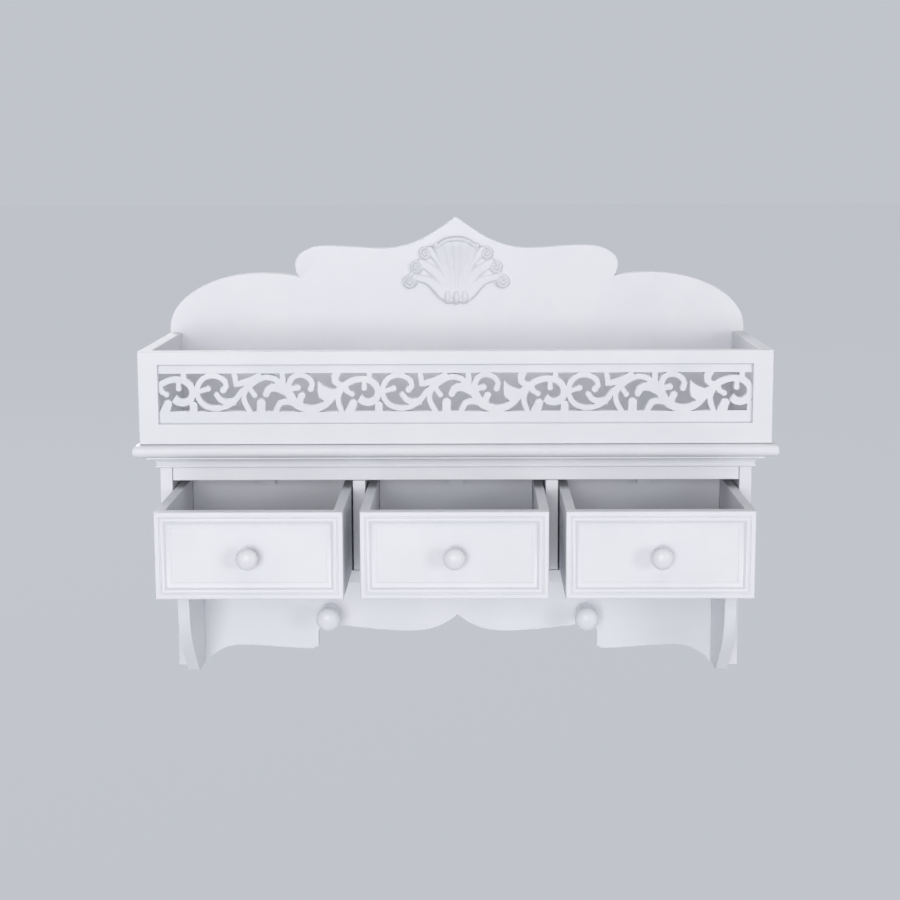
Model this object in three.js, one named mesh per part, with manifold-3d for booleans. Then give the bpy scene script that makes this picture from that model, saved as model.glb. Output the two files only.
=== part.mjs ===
// Wall shelf with an open gallery on top and three small drawers below, in white painted board.
// Millimetres. X runs to the right, Y into the wall, Z up. The origin lies on the wall, midway
// between the two hanging screws. The drawers are drawn out against their stops.

import * as THREE from "three";
import { mergeVertices } from "three/addons/utils/BufferGeometryUtils.js";
import Module from "manifold-3d";

const wasm = await Module();
wasm.setup();

// ---------------------------------------------------------------- driving dimensions (mm)

const FIT = 0.3; // glue line, or clearance between two pieces that touch
const BOARD = 12; // thickness of the sides, rails, dividers and bottom board
const BACK_THICK = 12;
const HANG_ABOVE_RIM = 30; // hanging screws above the gallery's rim

const GALLERY_WIDTH = 600;
const GALLERY_DEPTH = 200; // front face of the gallery in front of the backboard
const GALLERY_HEIGHT = 89;
const RAIL_TOP_HEIGHT = 13;
const RAIL_BOTTOM_HEIGHT = 20;
const STILE_WIDTH = 19;

const SHELF_THICK = 12;
const SHELF_OVERHANG = 6; // beyond the gallery's front and sides
const NOSE_RADIUS = 5; // rounding of the shelf's edges, above and below

const CARCASE_INSET = 17; // each end of the carcase inside the gallery's
const CARCASE_SETBACK = 10; // behind the gallery's front face
const FACE_RAIL_HEIGHT = 24;
const OPENING_HEIGHT = 88; // of each drawer's compartment
const BOTTOM_THICK = 12;
const DRAWERS = 3;

const MOULDING_OUT = 10; // bed moulding below the shelf
const MOULDING_DROP = 11;
const MOULDING_BEAD = 1.4;
const MOULDING_FILLET = 1.5;

const DRAWER = {
  sideClearance: 1.5,
  frontHeight: 80,
  frontThick: 12,
  boxThick: 9,
  bottomThick: 4,
  bottomRaise: 5, // groove of the bottom above the sides' lower edge
  groove: 4,
  backClearance: 0.5, // to the backboard, closed
  travel: 124,
};
const FRONT_FRAME = 15; // moulded frame round the sunk panel of a drawer front
const PANEL_SUNK = 3;
// Mouldings of that frame, by inset from the front's edge and depth below its highest face.
const FRONT_MOULDING = {
  edgeDepth: 0.4,
  edgeRound: 1.6,
  quirk: [4.2, 4.8],
  beadDepth: 1.3,
  beadAt: 7.4,
  beadHalf: 2,
  coveReach: 4,
  coveTop: 0.8,
  fillet: 0.5,
  coveEnd: 1, // cove's end before the panel
  panelLip: 0.2,
};

// Turned pieces: widths are diameters, and distances run out from the face that a piece stands on.
const KNOB = {
  out: 23,
  head: 20,
  crown: 0.62, // height of the domed face as a share of the head's radius
  headEdge: { inset: 1.4, behind: 2 },
  neck: 9,
  neckAt: 7,
  throat: { wider: 0.7, behind: 4.6 }, // where the neck begins to open into the head
  flare: { wider: 0.4, at: 4 },
  base: 13,
  baseThick: 1.8,
  screwHole: 4,
  screwHoleDeep: 12,
  screwPoint: 1, // length of the hole's pointed end
};
const PEG = {
  apart: 272,
  aboveNotch: 25, // axis above the centre of the backboard's notch
  out: 44,
  head: 25,
  crown: 0.6,
  headBack: 1.05, // the head's back face behind its tip, as a share of its radius
  headEdge: { inset: 0.8, ahead: 2.4 },
  headBackInset: 3,
  neck: 13,
  neckAt: 12,
  throat: { wider: 0.6, behind: 5 },
  flare: { wider: 0.8, at: 5.5 },
  base: 18,
  baseThick: 2.5,
  tenon: 8,
  tenonDeep: 7,
};
const STOP = { width: 14, thick: 10, below: 12 }; // stop cleat, and its reach below the face rail

const HANGER = {
  apart: 400,
  width: 20,
  height: 46,
  thick: 1.5,
  slot: 4.5,
  hole: 9,
  drop: 11, // centre of the round hole below the top of the slot
  endMargin: 9,
};
const HANGER_POCKET = { deep: 2, headWidth: 13, headDeep: 8 };
const OVERCUT = 1; // by which a cutter passes the face it opens

// Upper edge of the backboard: distances from the centre line, heights above the gallery's rim.
const CREST = {
  rise: 120, // middle peak
  peakFlank: [20, 105],
  hollowPull: 42,
  hollow: [75, 87.3],
  brow: [143, 89.5],
  browPull: [95, 125, 91.5],
  lobe: [168.3, 71],
  lobePull: [154, 88.3, 82],
  nick: [161.8, 55.6],
  nickPull: [64, 166, 58.5],
  wingTop: [201, 61.9],
  wingFoot: 5,
};
// Lower edge of the backboard: heights are above the legs' tips.
const SKIRT = {
  reach: 134, // the legs' tips below the carcase
  legToe: 26, // width of a leg at its tip
  toePull: { inset: 38, height: 13 },
  archPull: 48, // from the outer edge
  archTop: { inset: 67, height: 22 },
  archShares: [0.359, 0.679], // of the way from the arch's top to the cusp, where the curve is drawn on
  cusp: { at: 155, height: 18 }, // from the centre line
  cuspCorner: { at: 148.8, height: 21 },
  notch: { at: 135.5, height: 34, radius: 13.7 },
  apronEdge: 43.6,
  apronPull: { at: 100, height: 40.4 },
  lobePull: 75,
  apronLobe: { at: 50, height: 37.2 },
  nickLead: 28,
  nickPull: { at: 12, height: 44 },
  middleNick: 55.5,
};
// Lower end of a carcase side: distances in front of the backboard, drops below the carcase.
const BRACKET = {
  step: 4,
  cove: 150,
  waistLead: [106, 20],
  waist: [106, 50],
  swell: [106, 80],
  toeLead: [75, 100],
  toe: [50, 123],
  toePull: [44, 129],
  toeEnd: [38, 129],
};

const FRET = {
  thick: 6,
  sunk: 3, // behind the frame's face
  housed: 5, // edge held in the frame's rebate
  marginTop: 8,
  marginBottom: 11,
  repeat: 176, // length of one run of the scrolls
  phase: -111, // where a run starts, from the centre line
  drawnHeight: 37, // height for which the scrolls below are drawn
  step: 4.7, // chord along a scroll
  capSteps: 5,
};

// Carved shell: X from its middle, Z above its lower end, and depth in front of the backboard.
const SHELL = {
  aboveRim: 29.5,
  spring: 12, // height from which the flutes, leaves and web spread
  fluteLeans: [-25, -12.5, 0, 12.5, 25],
  fluteLength: 52,
  fluteShorter: 0.14, // for each degree of lean
  fluteWidth: 13.4,
  fluteDepth: 5.58,
  web: { thick: 3, foot: 7, waist: [12, 38], shoulder: [23, 54], crownPull: 72 },
  topRoll: { through: [[0, 3.6, 65.6], [12, 3.4, 62.8], [22.5, 2.6, 54.5]], radii: [4.8, 4.4, 3.4] },
  curls: [
    { at: [34.5, 52], radius: 7 },
    { at: [44.5, 38.5], radius: 7.2 },
    { at: [49, 23.5], radius: 7.4 },
  ],
  // A leaf's belly lies at shares of the way to its curl; its tip lies at shares of the curl's radius.
  leaf: { rootX: 5, depths: [1, 3.4, 2.6], radii: [4.6, 5.6, 3.6], belly: [0.45, 0.62], tip: [0.4, 0.7] },
  curlRing: { depth: 2.2, middle: 0.62, round: 0.4 },
  curlButton: { depth: 3, bulge: 3.2, round: 0.36 },
  bowl: { centre: 17, radii: [17, 5.4, 12] },
  footRounds: [
    { at: 3, centre: 8.9, radii: [3.6, 6, 8.6] },
    { at: 9, centre: 10.7, radii: [3.6, 6, 8] },
  ],
};

const ROUND = 20; // facets round a turned piece
const CURVE = 8; // chords along one curve of an outline
const DOME = 5; // chords up the domed face of a turned head
const FINE = 4; // chords along one small moulded curve

// ---------------------------------------------------------------- levels and planes

const rim = -HANG_ABOVE_RIM;
const backFront = -BACK_THICK; // front face of the backboard
const galleryFront = backFront - GALLERY_DEPTH;
const shelfTop = rim - GALLERY_HEIGHT;
const shelfBottom = shelfTop - SHELF_THICK;
const shelfFront = galleryFront - SHELF_OVERHANG;
const carcaseFront = galleryFront + CARCASE_SETBACK;
const openingTop = shelfBottom - FACE_RAIL_HEIGHT;
const openingBottom = openingTop - OPENING_HEIGHT;
const carcaseBottom = openingBottom - BOTTOM_THICK;
const skirtFoot = carcaseBottom - SKIRT.reach;
const pegHeight = skirtFoot + SKIRT.notch.height + PEG.aboveNotch;
const galleryHalf = GALLERY_WIDTH / 2;
const carcaseHalf = galleryHalf - CARCASE_INSET;
const carcaseInner = carcaseHalf - BOARD;
const compartment = (2 * carcaseInner - (DRAWERS - 1) * BOARD) / DRAWERS;
const compartmentPitch = compartment + BOARD;
const drawerLength = backFront - carcaseFront - DRAWER.backClearance;
const drawerFace = carcaseFront - DRAWER.travel; // face of a drawer that is drawn out

// ---------------------------------------------------------------- materials

const paint = new THREE.MeshStandardMaterial({ color: 0xe9e9ee, roughness: 0.42, metalness: 0 });
const carvedPaint = new THREE.MeshStandardMaterial({ color: 0xe7e7ec, roughness: 0.46, metalness: 0 });
const insidePaint = new THREE.MeshStandardMaterial({ color: 0xe2e3e8, roughness: 0.55, metalness: 0 });
const zincSteel = new THREE.MeshStandardMaterial({ color: 0xb4b7ba, roughness: 0.35, metalness: 1 });

// ---------------------------------------------------------------- solids

function toSolid(geometry) {
  const bare = geometry.index ? geometry.clone() : geometry;
  bare.deleteAttribute("normal");
  bare.deleteAttribute("uv");
  const merged = mergeVertices(bare, 1e-4);
  return new wasm.Manifold(new wasm.Mesh({
    numProp: 3,
    vertProperties: new Float32Array(merged.attributes.position.array),
    triVerts: new Uint32Array(merged.index.array),
  }));
}

function toGeometry(solid) {
  const mesh = solid.getMesh();
  const geometry = new THREE.BufferGeometry();
  geometry.setAttribute("position", new THREE.BufferAttribute(new Float32Array(mesh.vertProperties), 3));
  geometry.setIndex(new THREE.BufferAttribute(new Uint32Array(mesh.triVerts), 1));
  return geometry;
}

function united(geometries) {
  return geometries.map(toSolid).reduce((whole, piece) => whole.add(piece));
}

function carved(geometry, cutters) {
  const cut = cutters.map(toSolid).reduce((left, cutter) => left.subtract(cutter), toSolid(geometry));
  return toGeometry(cut);
}

/** Box between two corners. */
function block([x0, y0, z0], [x1, y1, z1]) {
  const box = new THREE.BoxGeometry(x1 - x0, y1 - y0, z1 - z0);
  return box.translate((x0 + x1) / 2, (y0 + y1) / 2, (z0 + z1) / 2);
}

/** Solid through closed rings of equal count; `flat` holds the ring's outline in its own plane. */
function loft(rings, flat) {
  const count = rings[0].length;
  const positions = rings.flat(2);
  const index = [];
  for (let r = 0; r + 1 < rings.length; r += 1) {
    for (let i = 0; i < count; i += 1) {
      const j = (i + 1) % count;
      const [a, b] = [r * count + i, r * count + j];
      const [c, d] = [a + count, b + count];
      index.push(a, b, d, a, d, c);
    }
  }
  const caps = THREE.ShapeUtils.triangulateShape(flat.map(([u, v]) => new THREE.Vector2(u, v)), []);
  const last = (rings.length - 1) * count;
  for (const [a, b, c] of caps) {
    index.push(c, b, a, last + a, last + b, last + c);
  }
  const geometry = new THREE.BufferGeometry();
  geometry.setAttribute("position", new THREE.Float32BufferAttribute(positions, 3));
  geometry.setIndex(index);
  return geometry;
}

/** Outline in X and Z, made into a board whose back face lies at y = 0. */
function standing(shape, thick) {
  const settings = { depth: thick, bevelEnabled: false, curveSegments: CURVE };
  return new THREE.ExtrudeGeometry(shape, settings).rotateX(Math.PI / 2);
}

/** Outline in distance before the wall and Z, made into a board whose right face lies at x = 0. */
function upright(shape, thick) {
  return standing(shape, thick).rotateZ(-Math.PI / 2);
}

/** Piece turned round the Y axis from radius and distance towards the room. */
function turned(points) {
  const profile = points.map(([radius, height]) => new THREE.Vector2(radius, height));
  return new THREE.LatheGeometry(profile, ROUND).rotateX(Math.PI);
}

/** Points along part of an ellipse, by degrees; a rounding error never takes one past x = 0. */
function arcPoints(centre, radii, from, to, steps) {
  const [start, end] = [from, to].map(THREE.MathUtils.degToRad);
  const arc = new THREE.EllipseCurve(...centre, ...radii, start, end, to < from);
  return arc.getPoints(steps).map((p) => [Math.max(p.x, 0), p.y]);
}

const root = new THREE.Group();

function place(name, geometry, material, at = [0, 0, 0], parent = root) {
  const mesh = new THREE.Mesh(geometry, material);
  mesh.name = name;
  mesh.position.set(...at);
  parent.add(mesh);
  return mesh;
}

// ---------------------------------------------------------------- backboard

/** Upper right of the outline, from the middle peak to the outer edge. */
function drawCrest(path) {
  const up = ([x, z]) => [x, rim + z];
  const { peakFlank, hollow, hollowPull, brow, browPull, lobe, lobePull, nick, nickPull, wingTop } = CREST;
  path.moveTo(0, rim + CREST.rise);
  path.bezierCurveTo(...up(peakFlank), ...up([hollowPull, hollow[1]]), ...up(hollow));
  path.bezierCurveTo(...up([browPull[0], hollow[1]]), ...up([browPull[1], browPull[2]]), ...up(brow));
  path.bezierCurveTo(...up([lobePull[0], lobePull[1]]), ...up([lobe[0], lobePull[2]]), ...up(lobe));
  path.bezierCurveTo(...up([lobe[0], nickPull[0]]), ...up([nickPull[1], nickPull[2]]), ...up(nick));
  const [wingX, wingZ] = wingTop;
  const wingFoot = CREST.wingFoot;
  path.absellipse(wingX, rim + nick[1], wingX - nick[0], wingZ - nick[1], Math.PI, Math.PI / 2, true);
  path.absellipse(wingX, rim + wingFoot, galleryHalf - wingX, wingZ - wingFoot, Math.PI / 2, 0, true);
}

/** Lower right of the outline, from the leg's tip to the middle nick. */
function drawSkirt(path) {
  const { toePull, archTop, archShares, cusp, cuspCorner, notch, apronPull, apronLobe, nickPull } = SKIRT;
  const up = (x, height) => [x, skirtFoot + height];
  const archX = galleryHalf - archTop.inset;
  const [leadX, endX] = archShares.map((share) => THREE.MathUtils.lerp(archX, cusp.at, share));
  path.lineTo(...up(galleryHalf, 0));
  path.lineTo(...up(galleryHalf - SKIRT.legToe, 0));
  path.bezierCurveTo(
    ...up(galleryHalf - toePull.inset, toePull.height),
    ...up(galleryHalf - SKIRT.archPull, archTop.height),
    ...up(archX, archTop.height));
  path.bezierCurveTo(...up(leadX, archTop.height), ...up(endX, cusp.height), ...up(cusp.at, cusp.height));
  path.lineTo(...up(cuspCorner.at, cuspCorner.height));
  const apronAngle = Math.asin((SKIRT.apronEdge - notch.height) / notch.radius);
  path.absarc(...up(notch.at, notch.height), notch.radius, 0, Math.PI - apronAngle, false);
  path.bezierCurveTo(
    ...up(apronPull.at, apronPull.height),
    ...up(SKIRT.lobePull, apronLobe.height),
    ...up(apronLobe.at, apronLobe.height));
  path.bezierCurveTo(
    ...up(SKIRT.nickLead, apronLobe.height),
    ...up(nickPull.at, nickPull.height),
    ...up(0, SKIRT.middleNick));
}

/** Right half of the outline, from the middle peak round to the middle nick below. */
function halfBackOutline() {
  const path = new THREE.Path();
  drawCrest(path);
  drawSkirt(path);
  return path.getPoints(CURVE);
}

function backboard() {
  const right = halfBackOutline();
  const left = right.slice(1, -1).reverse().map((p) => new THREE.Vector2(-p.x, p.y));
  return carved(standing(new THREE.Shape([...right, ...left]), BACK_THICK), [
    ...hangerPockets(),
    ...[-1, 1].map((side) => pegHole(side)),
  ]);
}

/** Shallow bed for each hanger, with a deeper well for the screw's head behind its keyhole. */
function hangerPockets() {
  const well = HANGER_POCKET.headWidth / 2;
  const bedBottom = HANGER.endMargin - HANGER.height;
  return [-1, 1].flatMap((side) => {
    const x = side * HANGER.apart / 2;
    const halfBed = HANGER.width / 2 + FIT;
    return [
      block(
        [x - halfBed, -HANGER_POCKET.deep, bedBottom - FIT],
        [x + halfBed, OVERCUT, HANGER.endMargin + FIT]),
      block([x - well, -HANGER_POCKET.headDeep, -HANGER.drop - well], [x + well, OVERCUT, well]),
    ];
  });
}

function hangerPlate() {
  const { width, height, endMargin, slot, hole, drop } = HANGER;
  const plate = new THREE.Shape();
  const end = width / 2;
  plate.moveTo(-end, endMargin - height + end);
  plate.absarc(0, endMargin - height + end, end, Math.PI, 2 * Math.PI, false);
  plate.lineTo(end, endMargin);
  plate.lineTo(-end, endMargin);
  plate.closePath();
  const reach = Math.asin(slot / hole);
  const keyhole = new THREE.Path();
  keyhole.absarc(0, 0, slot / 2, 0, Math.PI, false);
  keyhole.absarc(0, -drop, hole / 2, Math.PI / 2 + reach, Math.PI * 2.5 - reach, false);
  keyhole.closePath();
  plate.holes.push(keyhole);
  return standing(plate, HANGER.thick);
}

function buildBack() {
  place("backboard", backboard(), paint);
  for (const [name, side] of [["left", -1], ["right", 1]]) {
    const y = HANGER.thick - HANGER_POCKET.deep + FIT;
    place(`hanger_plate_${name}`, hangerPlate(), zincSteel, [side * HANGER.apart / 2, y, 0]);
  }
}

// ---------------------------------------------------------------- coat pegs

function pegHole(side) {
  const radius = PEG.tenon / 2 + FIT;
  const hole = new THREE.CylinderGeometry(radius, radius, PEG.tenonDeep + FIT + OVERCUT, ROUND);
  const middle = backFront + (PEG.tenonDeep + FIT - OVERCUT) / 2;
  return hole.translate(side * PEG.apart / 2, middle, pegHeight);
}

/** Turned peg: tenon, flared base, waisted stem and domed head. */
function coatPeg() {
  const head = PEG.head / 2;
  const neck = PEG.neck / 2;
  const crown = head * PEG.crown;
  const headBack = PEG.out - head * PEG.headBack;
  return turned([
    [0, -PEG.tenonDeep],
    [PEG.tenon / 2, -PEG.tenonDeep],
    [PEG.tenon / 2, 0],
    [PEG.base / 2, 0],
    [PEG.base / 2, PEG.baseThick],
    [neck + PEG.flare.wider, PEG.flare.at],
    [neck, PEG.neckAt],
    [neck + PEG.throat.wider, headBack - PEG.throat.behind],
    [head - PEG.headBackInset, headBack],
    [head - PEG.headEdge.inset, headBack + PEG.headEdge.ahead],
    ...arcPoints([0, PEG.out - crown], [head, crown], 0, 90, DOME),
  ]);
}

function buildPegs() {
  for (const [name, side] of [["left", -1], ["right", 1]]) {
    const at = [side * PEG.apart / 2, backFront - FIT, pegHeight];
    place(`coat_peg_${name}`, coatPeg(), paint, at);
  }
}

// ---------------------------------------------------------------- gallery

const galleryFoot = shelfTop + FIT;
const frameBack = galleryFront + BOARD;
// Opening in the gallery's frame.
const windowHalf = galleryHalf - STILE_WIDTH;
const windowTop = rim - RAIL_TOP_HEIGHT;
const windowBottom = shelfTop + RAIL_BOTTOM_HEIGHT;

/** Cuts the rebate that houses the pierced panel into one member of the frame. */
function rebated([x0, z0], [x1, z1]) {
  const reach = FRET.housed + FIT;
  const rebate = block(
    [-windowHalf - reach, galleryFront + FRET.sunk - FIT, windowBottom - reach],
    [windowHalf + reach, frameBack + OVERCUT, windowTop + reach]);
  return carved(block([x0, galleryFront, z0], [x1, frameBack, z1]), [rebate]);
}

function buildGalleryFrame() {
  const railEnd = windowHalf - FIT;
  place("gallery_top_rail", rebated([-railEnd, windowTop], [railEnd, rim]), paint);
  place("gallery_bottom_rail", rebated([-railEnd, galleryFoot], [railEnd, windowBottom]), paint);
  place("gallery_stile_left", rebated([-galleryHalf, galleryFoot], [-windowHalf, rim]), paint);
  place("gallery_stile_right", rebated([windowHalf, galleryFoot], [galleryHalf, rim]), paint);
}

function buildGallery() {
  buildGalleryFrame();
  const [sideFront, sideBack] = [frameBack + FIT, backFront - FIT];
  for (const [name, x] of [["left", -galleryHalf], ["right", galleryHalf - BOARD]]) {
    const panel = block([x, sideFront, galleryFoot], [x + BOARD, sideBack, rim]);
    place(`gallery_side_${name}`, panel, paint);
  }
  const fretBack = galleryFront + FRET.sunk + FRET.thick;
  place("fretwork_panel", fretwork(), carvedPaint, [0, fretBack, 0]);
}

// ---------------------------------------------------------------- fretwork
// One run of the scrolls, in millimetres from the run's start and above the lower margin.
// A stem is drawn through its points, from one width to another, and may end in a round bud.

const STEMS = [
  // first scroll, with its three inner sprouts
  { through: [[4, -1], [0, 10.6], [2, 19], [8.4, 26.6], [19.8, 31], [30.4, 29.8], [37.4, 23.4], [38, 15],
    [32.5, 9.4], [25.5, 9.2], [20.8, 12.6]],
  width: [4, 6.6] },
  { through: [[25.1, 31], [25, 22.5]], width: [4, 3.4], bud: 2.3 },
  { through: [[6.8, 23.5], [9.9, 18], [13.3, 16.8]], width: [5, 3.6], bud: 2.3 },
  { through: [[11, -1], [14.6, 7.8]], width: [9, 6.4], bud: 3.6 },
  // ties from the margins
  { through: [[30, 38], [30, 31]], width: [4.4, 4] },
  { through: [[-0.6, 38], [-3, 30.8], [0.4, 26], [6, 25]], width: [7.4, 4.2] },
  { through: [[38.8, -1], [38.8, 6.4]], width: [7, 6], bud: 3.4 },
  // second scroll, its hooked end and its two inner sprouts
  { through: [[67.3, 20.9], [70.4, 25.1], [68.1, 30.4], [62.4, 33.9], [54.8, 34.6], [47.9, 31.6],
    [43.4, 25.1], [42.6, 17.5], [44.9, 10.6], [51, 5.3], [60.1, 3.2], [70, 5.3], [78.4, 11], [84, 18.5],
    [90.6, 24.6]],
  width: [4.4, 4.4], headBud: 2.7 },
  { through: [[44.6, 19.6], [52.9, 22]], width: [3.8, 3.4], bud: 2.3 },
  { through: [[79, 10], [69.2, 9.3], [63.1, 12.9], [61.2, 16.2]], width: [6, 4], bud: 2.3 },
  // tie and vine to the third scroll
  { through: [[78, 38], [79.5, 27.5]], width: [4.4, 4.2] },
  { through: [[77.5, 26.6], [84.4, 27], [94.3, 30.4], [103.4, 35.6]], width: [4.4, 6] },
  // third scroll, its drop, post and comma
  { through: [[93, -1], [87.8, 8.6], [86.6, 15.2], [88.6, 20.5], [93.6, 25.8], [101.2, 30.8], [108, 33.1],
    [116.4, 31.4], [122, 26.4], [126.5, 21]],
  width: [4.2, 5] },
  { through: [[91.6, 24.4], [94.7, 19], [96.9, 16]], width: [4.4, 3.4], bud: 2.3 },
  { through: [[102.8, -1], [103.1, 8.4]], width: [7.4, 6.8], bud: 3.9 },
  { through: [[127, 20.4], [118.4, 23.4], [111, 22], [108, 16.9]], width: [9.5, 5], bud: 2.8 },
  // tie, node and fourth scroll with its hooked end
  { through: [[123.6, 38], [124.2, 26]], width: [4.4, 5] },
  { through: [[129.3, 23], [131.2, 30.4], [136.2, 34.6], [143, 35], [149.1, 31.8], [151.9, 26.8],
    [150.5, 21.7]],
  width: [5, 4.2], bud: 2.5 },
  { through: [[127.5, 22], [131.4, 14], [136.2, 7.6], [143.8, 3.6], [152.9, 2.6], [162, 5.4], [169.4, 12],
    [176, 20.4], [184.4, 26.6]],
  width: [8, 4.4] },
  { through: [[135.5, 8.4], [127, 9.7], [120.6, 7.6], [116.6, -1]], width: [5.4, 4.4] },
  { through: [[129, 21.4], [138, 23]], width: [5, 4.2], bud: 2.6 },
  { through: [[139.6, 4], [140, 12], [141.9, 15.4]], width: [6.4, 5], bud: 3 },
];
// The leaf's corners, and how far each side is drawn in.
const LEAF = {
  corners: [[157.8, 28.4], [158.4, 13.8], [166.5, 5.8], [177.5, 20.6]],
  drawnIn: [-0.8, 0.8, 0, 2.4],
};

function stemGeometry({ through, width: [widthFrom, widthTo] }, thick) {
  const spine = new THREE.SplineCurve(through.map(([u, v]) => new THREE.Vector2(u, v)));
  const steps = Math.max(2, Math.round(spine.getLength() / FRET.step));
  const [leftBank, rightBank] = [[], []];
  for (let i = 0; i <= steps; i += 1) {
    const share = i / steps;
    const at = spine.getPointAt(share);
    const along = spine.getTangentAt(share);
    const half = THREE.MathUtils.lerp(widthFrom, widthTo, share) / 2;
    leftBank.push(new THREE.Vector2(at.x - along.y * half, at.y + along.x * half));
    rightBank.push(new THREE.Vector2(at.x + along.y * half, at.y - along.x * half));
  }
  return standing(new THREE.Shape([...leftBank, ...rightBank.reverse()]), thick);
}

function budGeometry([u, v], radius, thick) {
  const disc = new THREE.CylinderGeometry(radius, radius, thick, 2 * FRET.capSteps);
  return disc.translate(u, -thick / 2, v);
}

function leafGeometry(thick) {
  const { corners, drawnIn } = LEAF;
  const shape = new THREE.Shape();
  shape.moveTo(...corners[0]);
  corners.forEach(([u, v], i) => {
    const [nextU, nextV] = corners[(i + 1) % corners.length];
    const inward = drawnIn[i] * 2 / Math.hypot(nextU - u, nextV - v);
    const pullU = (u + nextU) / 2 - (nextV - v) * inward;
    const pullV = (v + nextV) / 2 + (nextU - u) * inward;
    shape.quadraticCurveTo(pullU, pullV, nextU, nextV);
  });
  return standing(shape, thick);
}

/** Every stem, bud and leaf of one run. */
function scrollRun(thick) {
  const stems = STEMS.flatMap((stem) => {
    const pieces = [stemGeometry(stem, thick)];
    if (stem.bud) pieces.push(budGeometry(stem.through.at(-1), stem.bud, thick));
    if (stem.headBud) pieces.push(budGeometry(stem.through[0], stem.headBud, thick));
    return pieces;
  });
  return united([...stems, leafGeometry(thick)]);
}

/** Solid border with the band of scrolls inside it; its back face lies at y = 0. */
function fretwork() {
  const half = windowHalf + FRET.housed;
  const bandBottom = windowBottom + FRET.marginBottom;
  const bandTop = windowTop - FRET.marginTop;
  const border = toSolid(block(
    [-half, -FRET.thick, windowBottom - FRET.housed],
    [half, 0, windowTop + FRET.housed]));
  const band = toSolid(block(
    [-windowHalf, -FRET.thick - OVERCUT, bandBottom],
    [windowHalf, OVERCUT, bandTop]));
  const run = scrollRun(FRET.thick).scale([1, 1, (bandTop - bandBottom) / FRET.drawnHeight]);
  const first = Math.floor((-half - FRET.phase) / FRET.repeat);
  const last = Math.ceil((half - FRET.phase) / FRET.repeat);
  const starts = Array.from({ length: last - first + 1 }, (_, i) => FRET.phase + (first + i) * FRET.repeat);
  const scrolls = starts
    .map((start) => run.translate([start, 0, bandBottom]))
    .reduce((whole, next) => whole.add(next));
  return toGeometry(border.subtract(band).add(scrolls.intersect(border)));
}

// ---------------------------------------------------------------- shelf and bed moulding

/** Board whose front and side edges are rounded over, above and below. */
function buildShelf() {
  const half = galleryHalf + SHELF_OVERHANG;
  const back = backFront - FIT;
  const nose = [NOSE_RADIUS, NOSE_RADIUS];
  const lower = arcPoints([0, NOSE_RADIUS], nose, 270, 360, FINE);
  const upper = arcPoints([0, SHELF_THICK - NOSE_RADIUS], nose, 0, 90, FINE);
  const rings = [...lower, ...upper].map(([out, z]) => {
    const inset = NOSE_RADIUS - out;
    const [x, y] = [half - inset, shelfFront + inset];
    return [[-x, y, z], [x, y, z], [x, back, z], [-x, back, z]];
  });
  place("shelf_board", loft(rings, rings[0]), paint, [0, 0, shelfBottom]);
}

/** Section of the bed moulding, fillet, cove and bead: how far out, and how far below the shelf. */
function mouldingSection() {
  const [fillet, bead] = [MOULDING_FILLET, MOULDING_BEAD];
  const coveDrop = MOULDING_DROP - fillet - 2 * bead;
  const coveOut = MOULDING_OUT - fillet - bead;
  const cove = arcPoints([MOULDING_OUT - 1, -fillet - coveDrop], [coveOut, coveDrop], 90, 180, FINE + 1);
  const lowBead = arcPoints([fillet, -MOULDING_DROP + bead], [bead, bead], 60, -90, FINE);
  return [[0, 0], [MOULDING_OUT, 0], [MOULDING_OUT, -fillet], ...cove, ...lowBead, [0, -MOULDING_DROP]];
}

/** Length of moulding along X whose ends lean out by `lean` per unit of projection. */
function mouldingLength(from, to, leanFrom, leanTo) {
  const section = mouldingSection();
  const ring = (x, lean) => section.map(([out, z]) => [x + lean * out, -out, z]);
  return loft([ring(from, leanFrom), ring(to, leanTo)], section.map(([out, z]) => [-out, z]));
}

function buildMoulding() {
  const half = carcaseHalf;
  const top = shelfBottom - FIT;
  const mitre = FIT / 2;
  const [front, back] = [carcaseFront - FIT, backFront - FIT];
  const run = back - front;
  const across = mouldingLength(-half + mitre, half - mitre, -1, 1);
  place("bed_moulding_front", across, paint, [0, front, top]);
  const left = mouldingLength(0, run - mitre, 0, 1).rotateZ(-Math.PI / 2);
  place("bed_moulding_left", left, paint, [-half - FIT, back, top]);
  const right = mouldingLength(mitre, run, -1, 0).rotateZ(Math.PI / 2);
  place("bed_moulding_right", right, paint, [half + FIT, front, top]);
}

// ---------------------------------------------------------------- carcase

/** Side with its ogee bracket below the drawers; distances run forward from the wall. */
function carcaseSide() {
  const front = -carcaseFront;
  const back = BACK_THICK + FIT;
  const at = ([out, drop]) => [BACK_THICK + out, carcaseBottom - drop];
  const { toeEnd, toePull, toe, toeLead, swell, waist, waistLead, cove, step } = BRACKET;
  const shape = new THREE.Shape();
  shape.moveTo(back, shelfBottom - FIT);
  shape.lineTo(back, carcaseBottom - toeEnd[1]);
  shape.lineTo(...at(toeEnd));
  shape.quadraticCurveTo(...at(toePull), ...at(toe));
  shape.bezierCurveTo(...at(toeLead), ...at(swell), ...at(waist));
  shape.bezierCurveTo(...at(waistLead), ...at([cove, step]), front, carcaseBottom - step);
  shape.lineTo(front, shelfBottom - FIT);
  shape.closePath();
  return upright(shape, BOARD);
}

/** Divider between two compartments, notched round the face rail. */
function divider() {
  const back = BACK_THICK + FIT;
  const front = -carcaseFront;
  const notch = front - BOARD - FIT;
  const shape = new THREE.Shape([
    [back, shelfBottom - FIT], [back, openingBottom + FIT], [front, openingBottom + FIT],
    [front, openingTop - FIT], [notch, openingTop - FIT], [notch, shelfBottom - FIT],
  ].map(([d, z]) => new THREE.Vector2(d, z)));
  return upright(shape, BOARD);
}

function compartmentCentre(i) {
  return (i - (DRAWERS - 1) / 2) * compartmentPitch;
}

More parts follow.
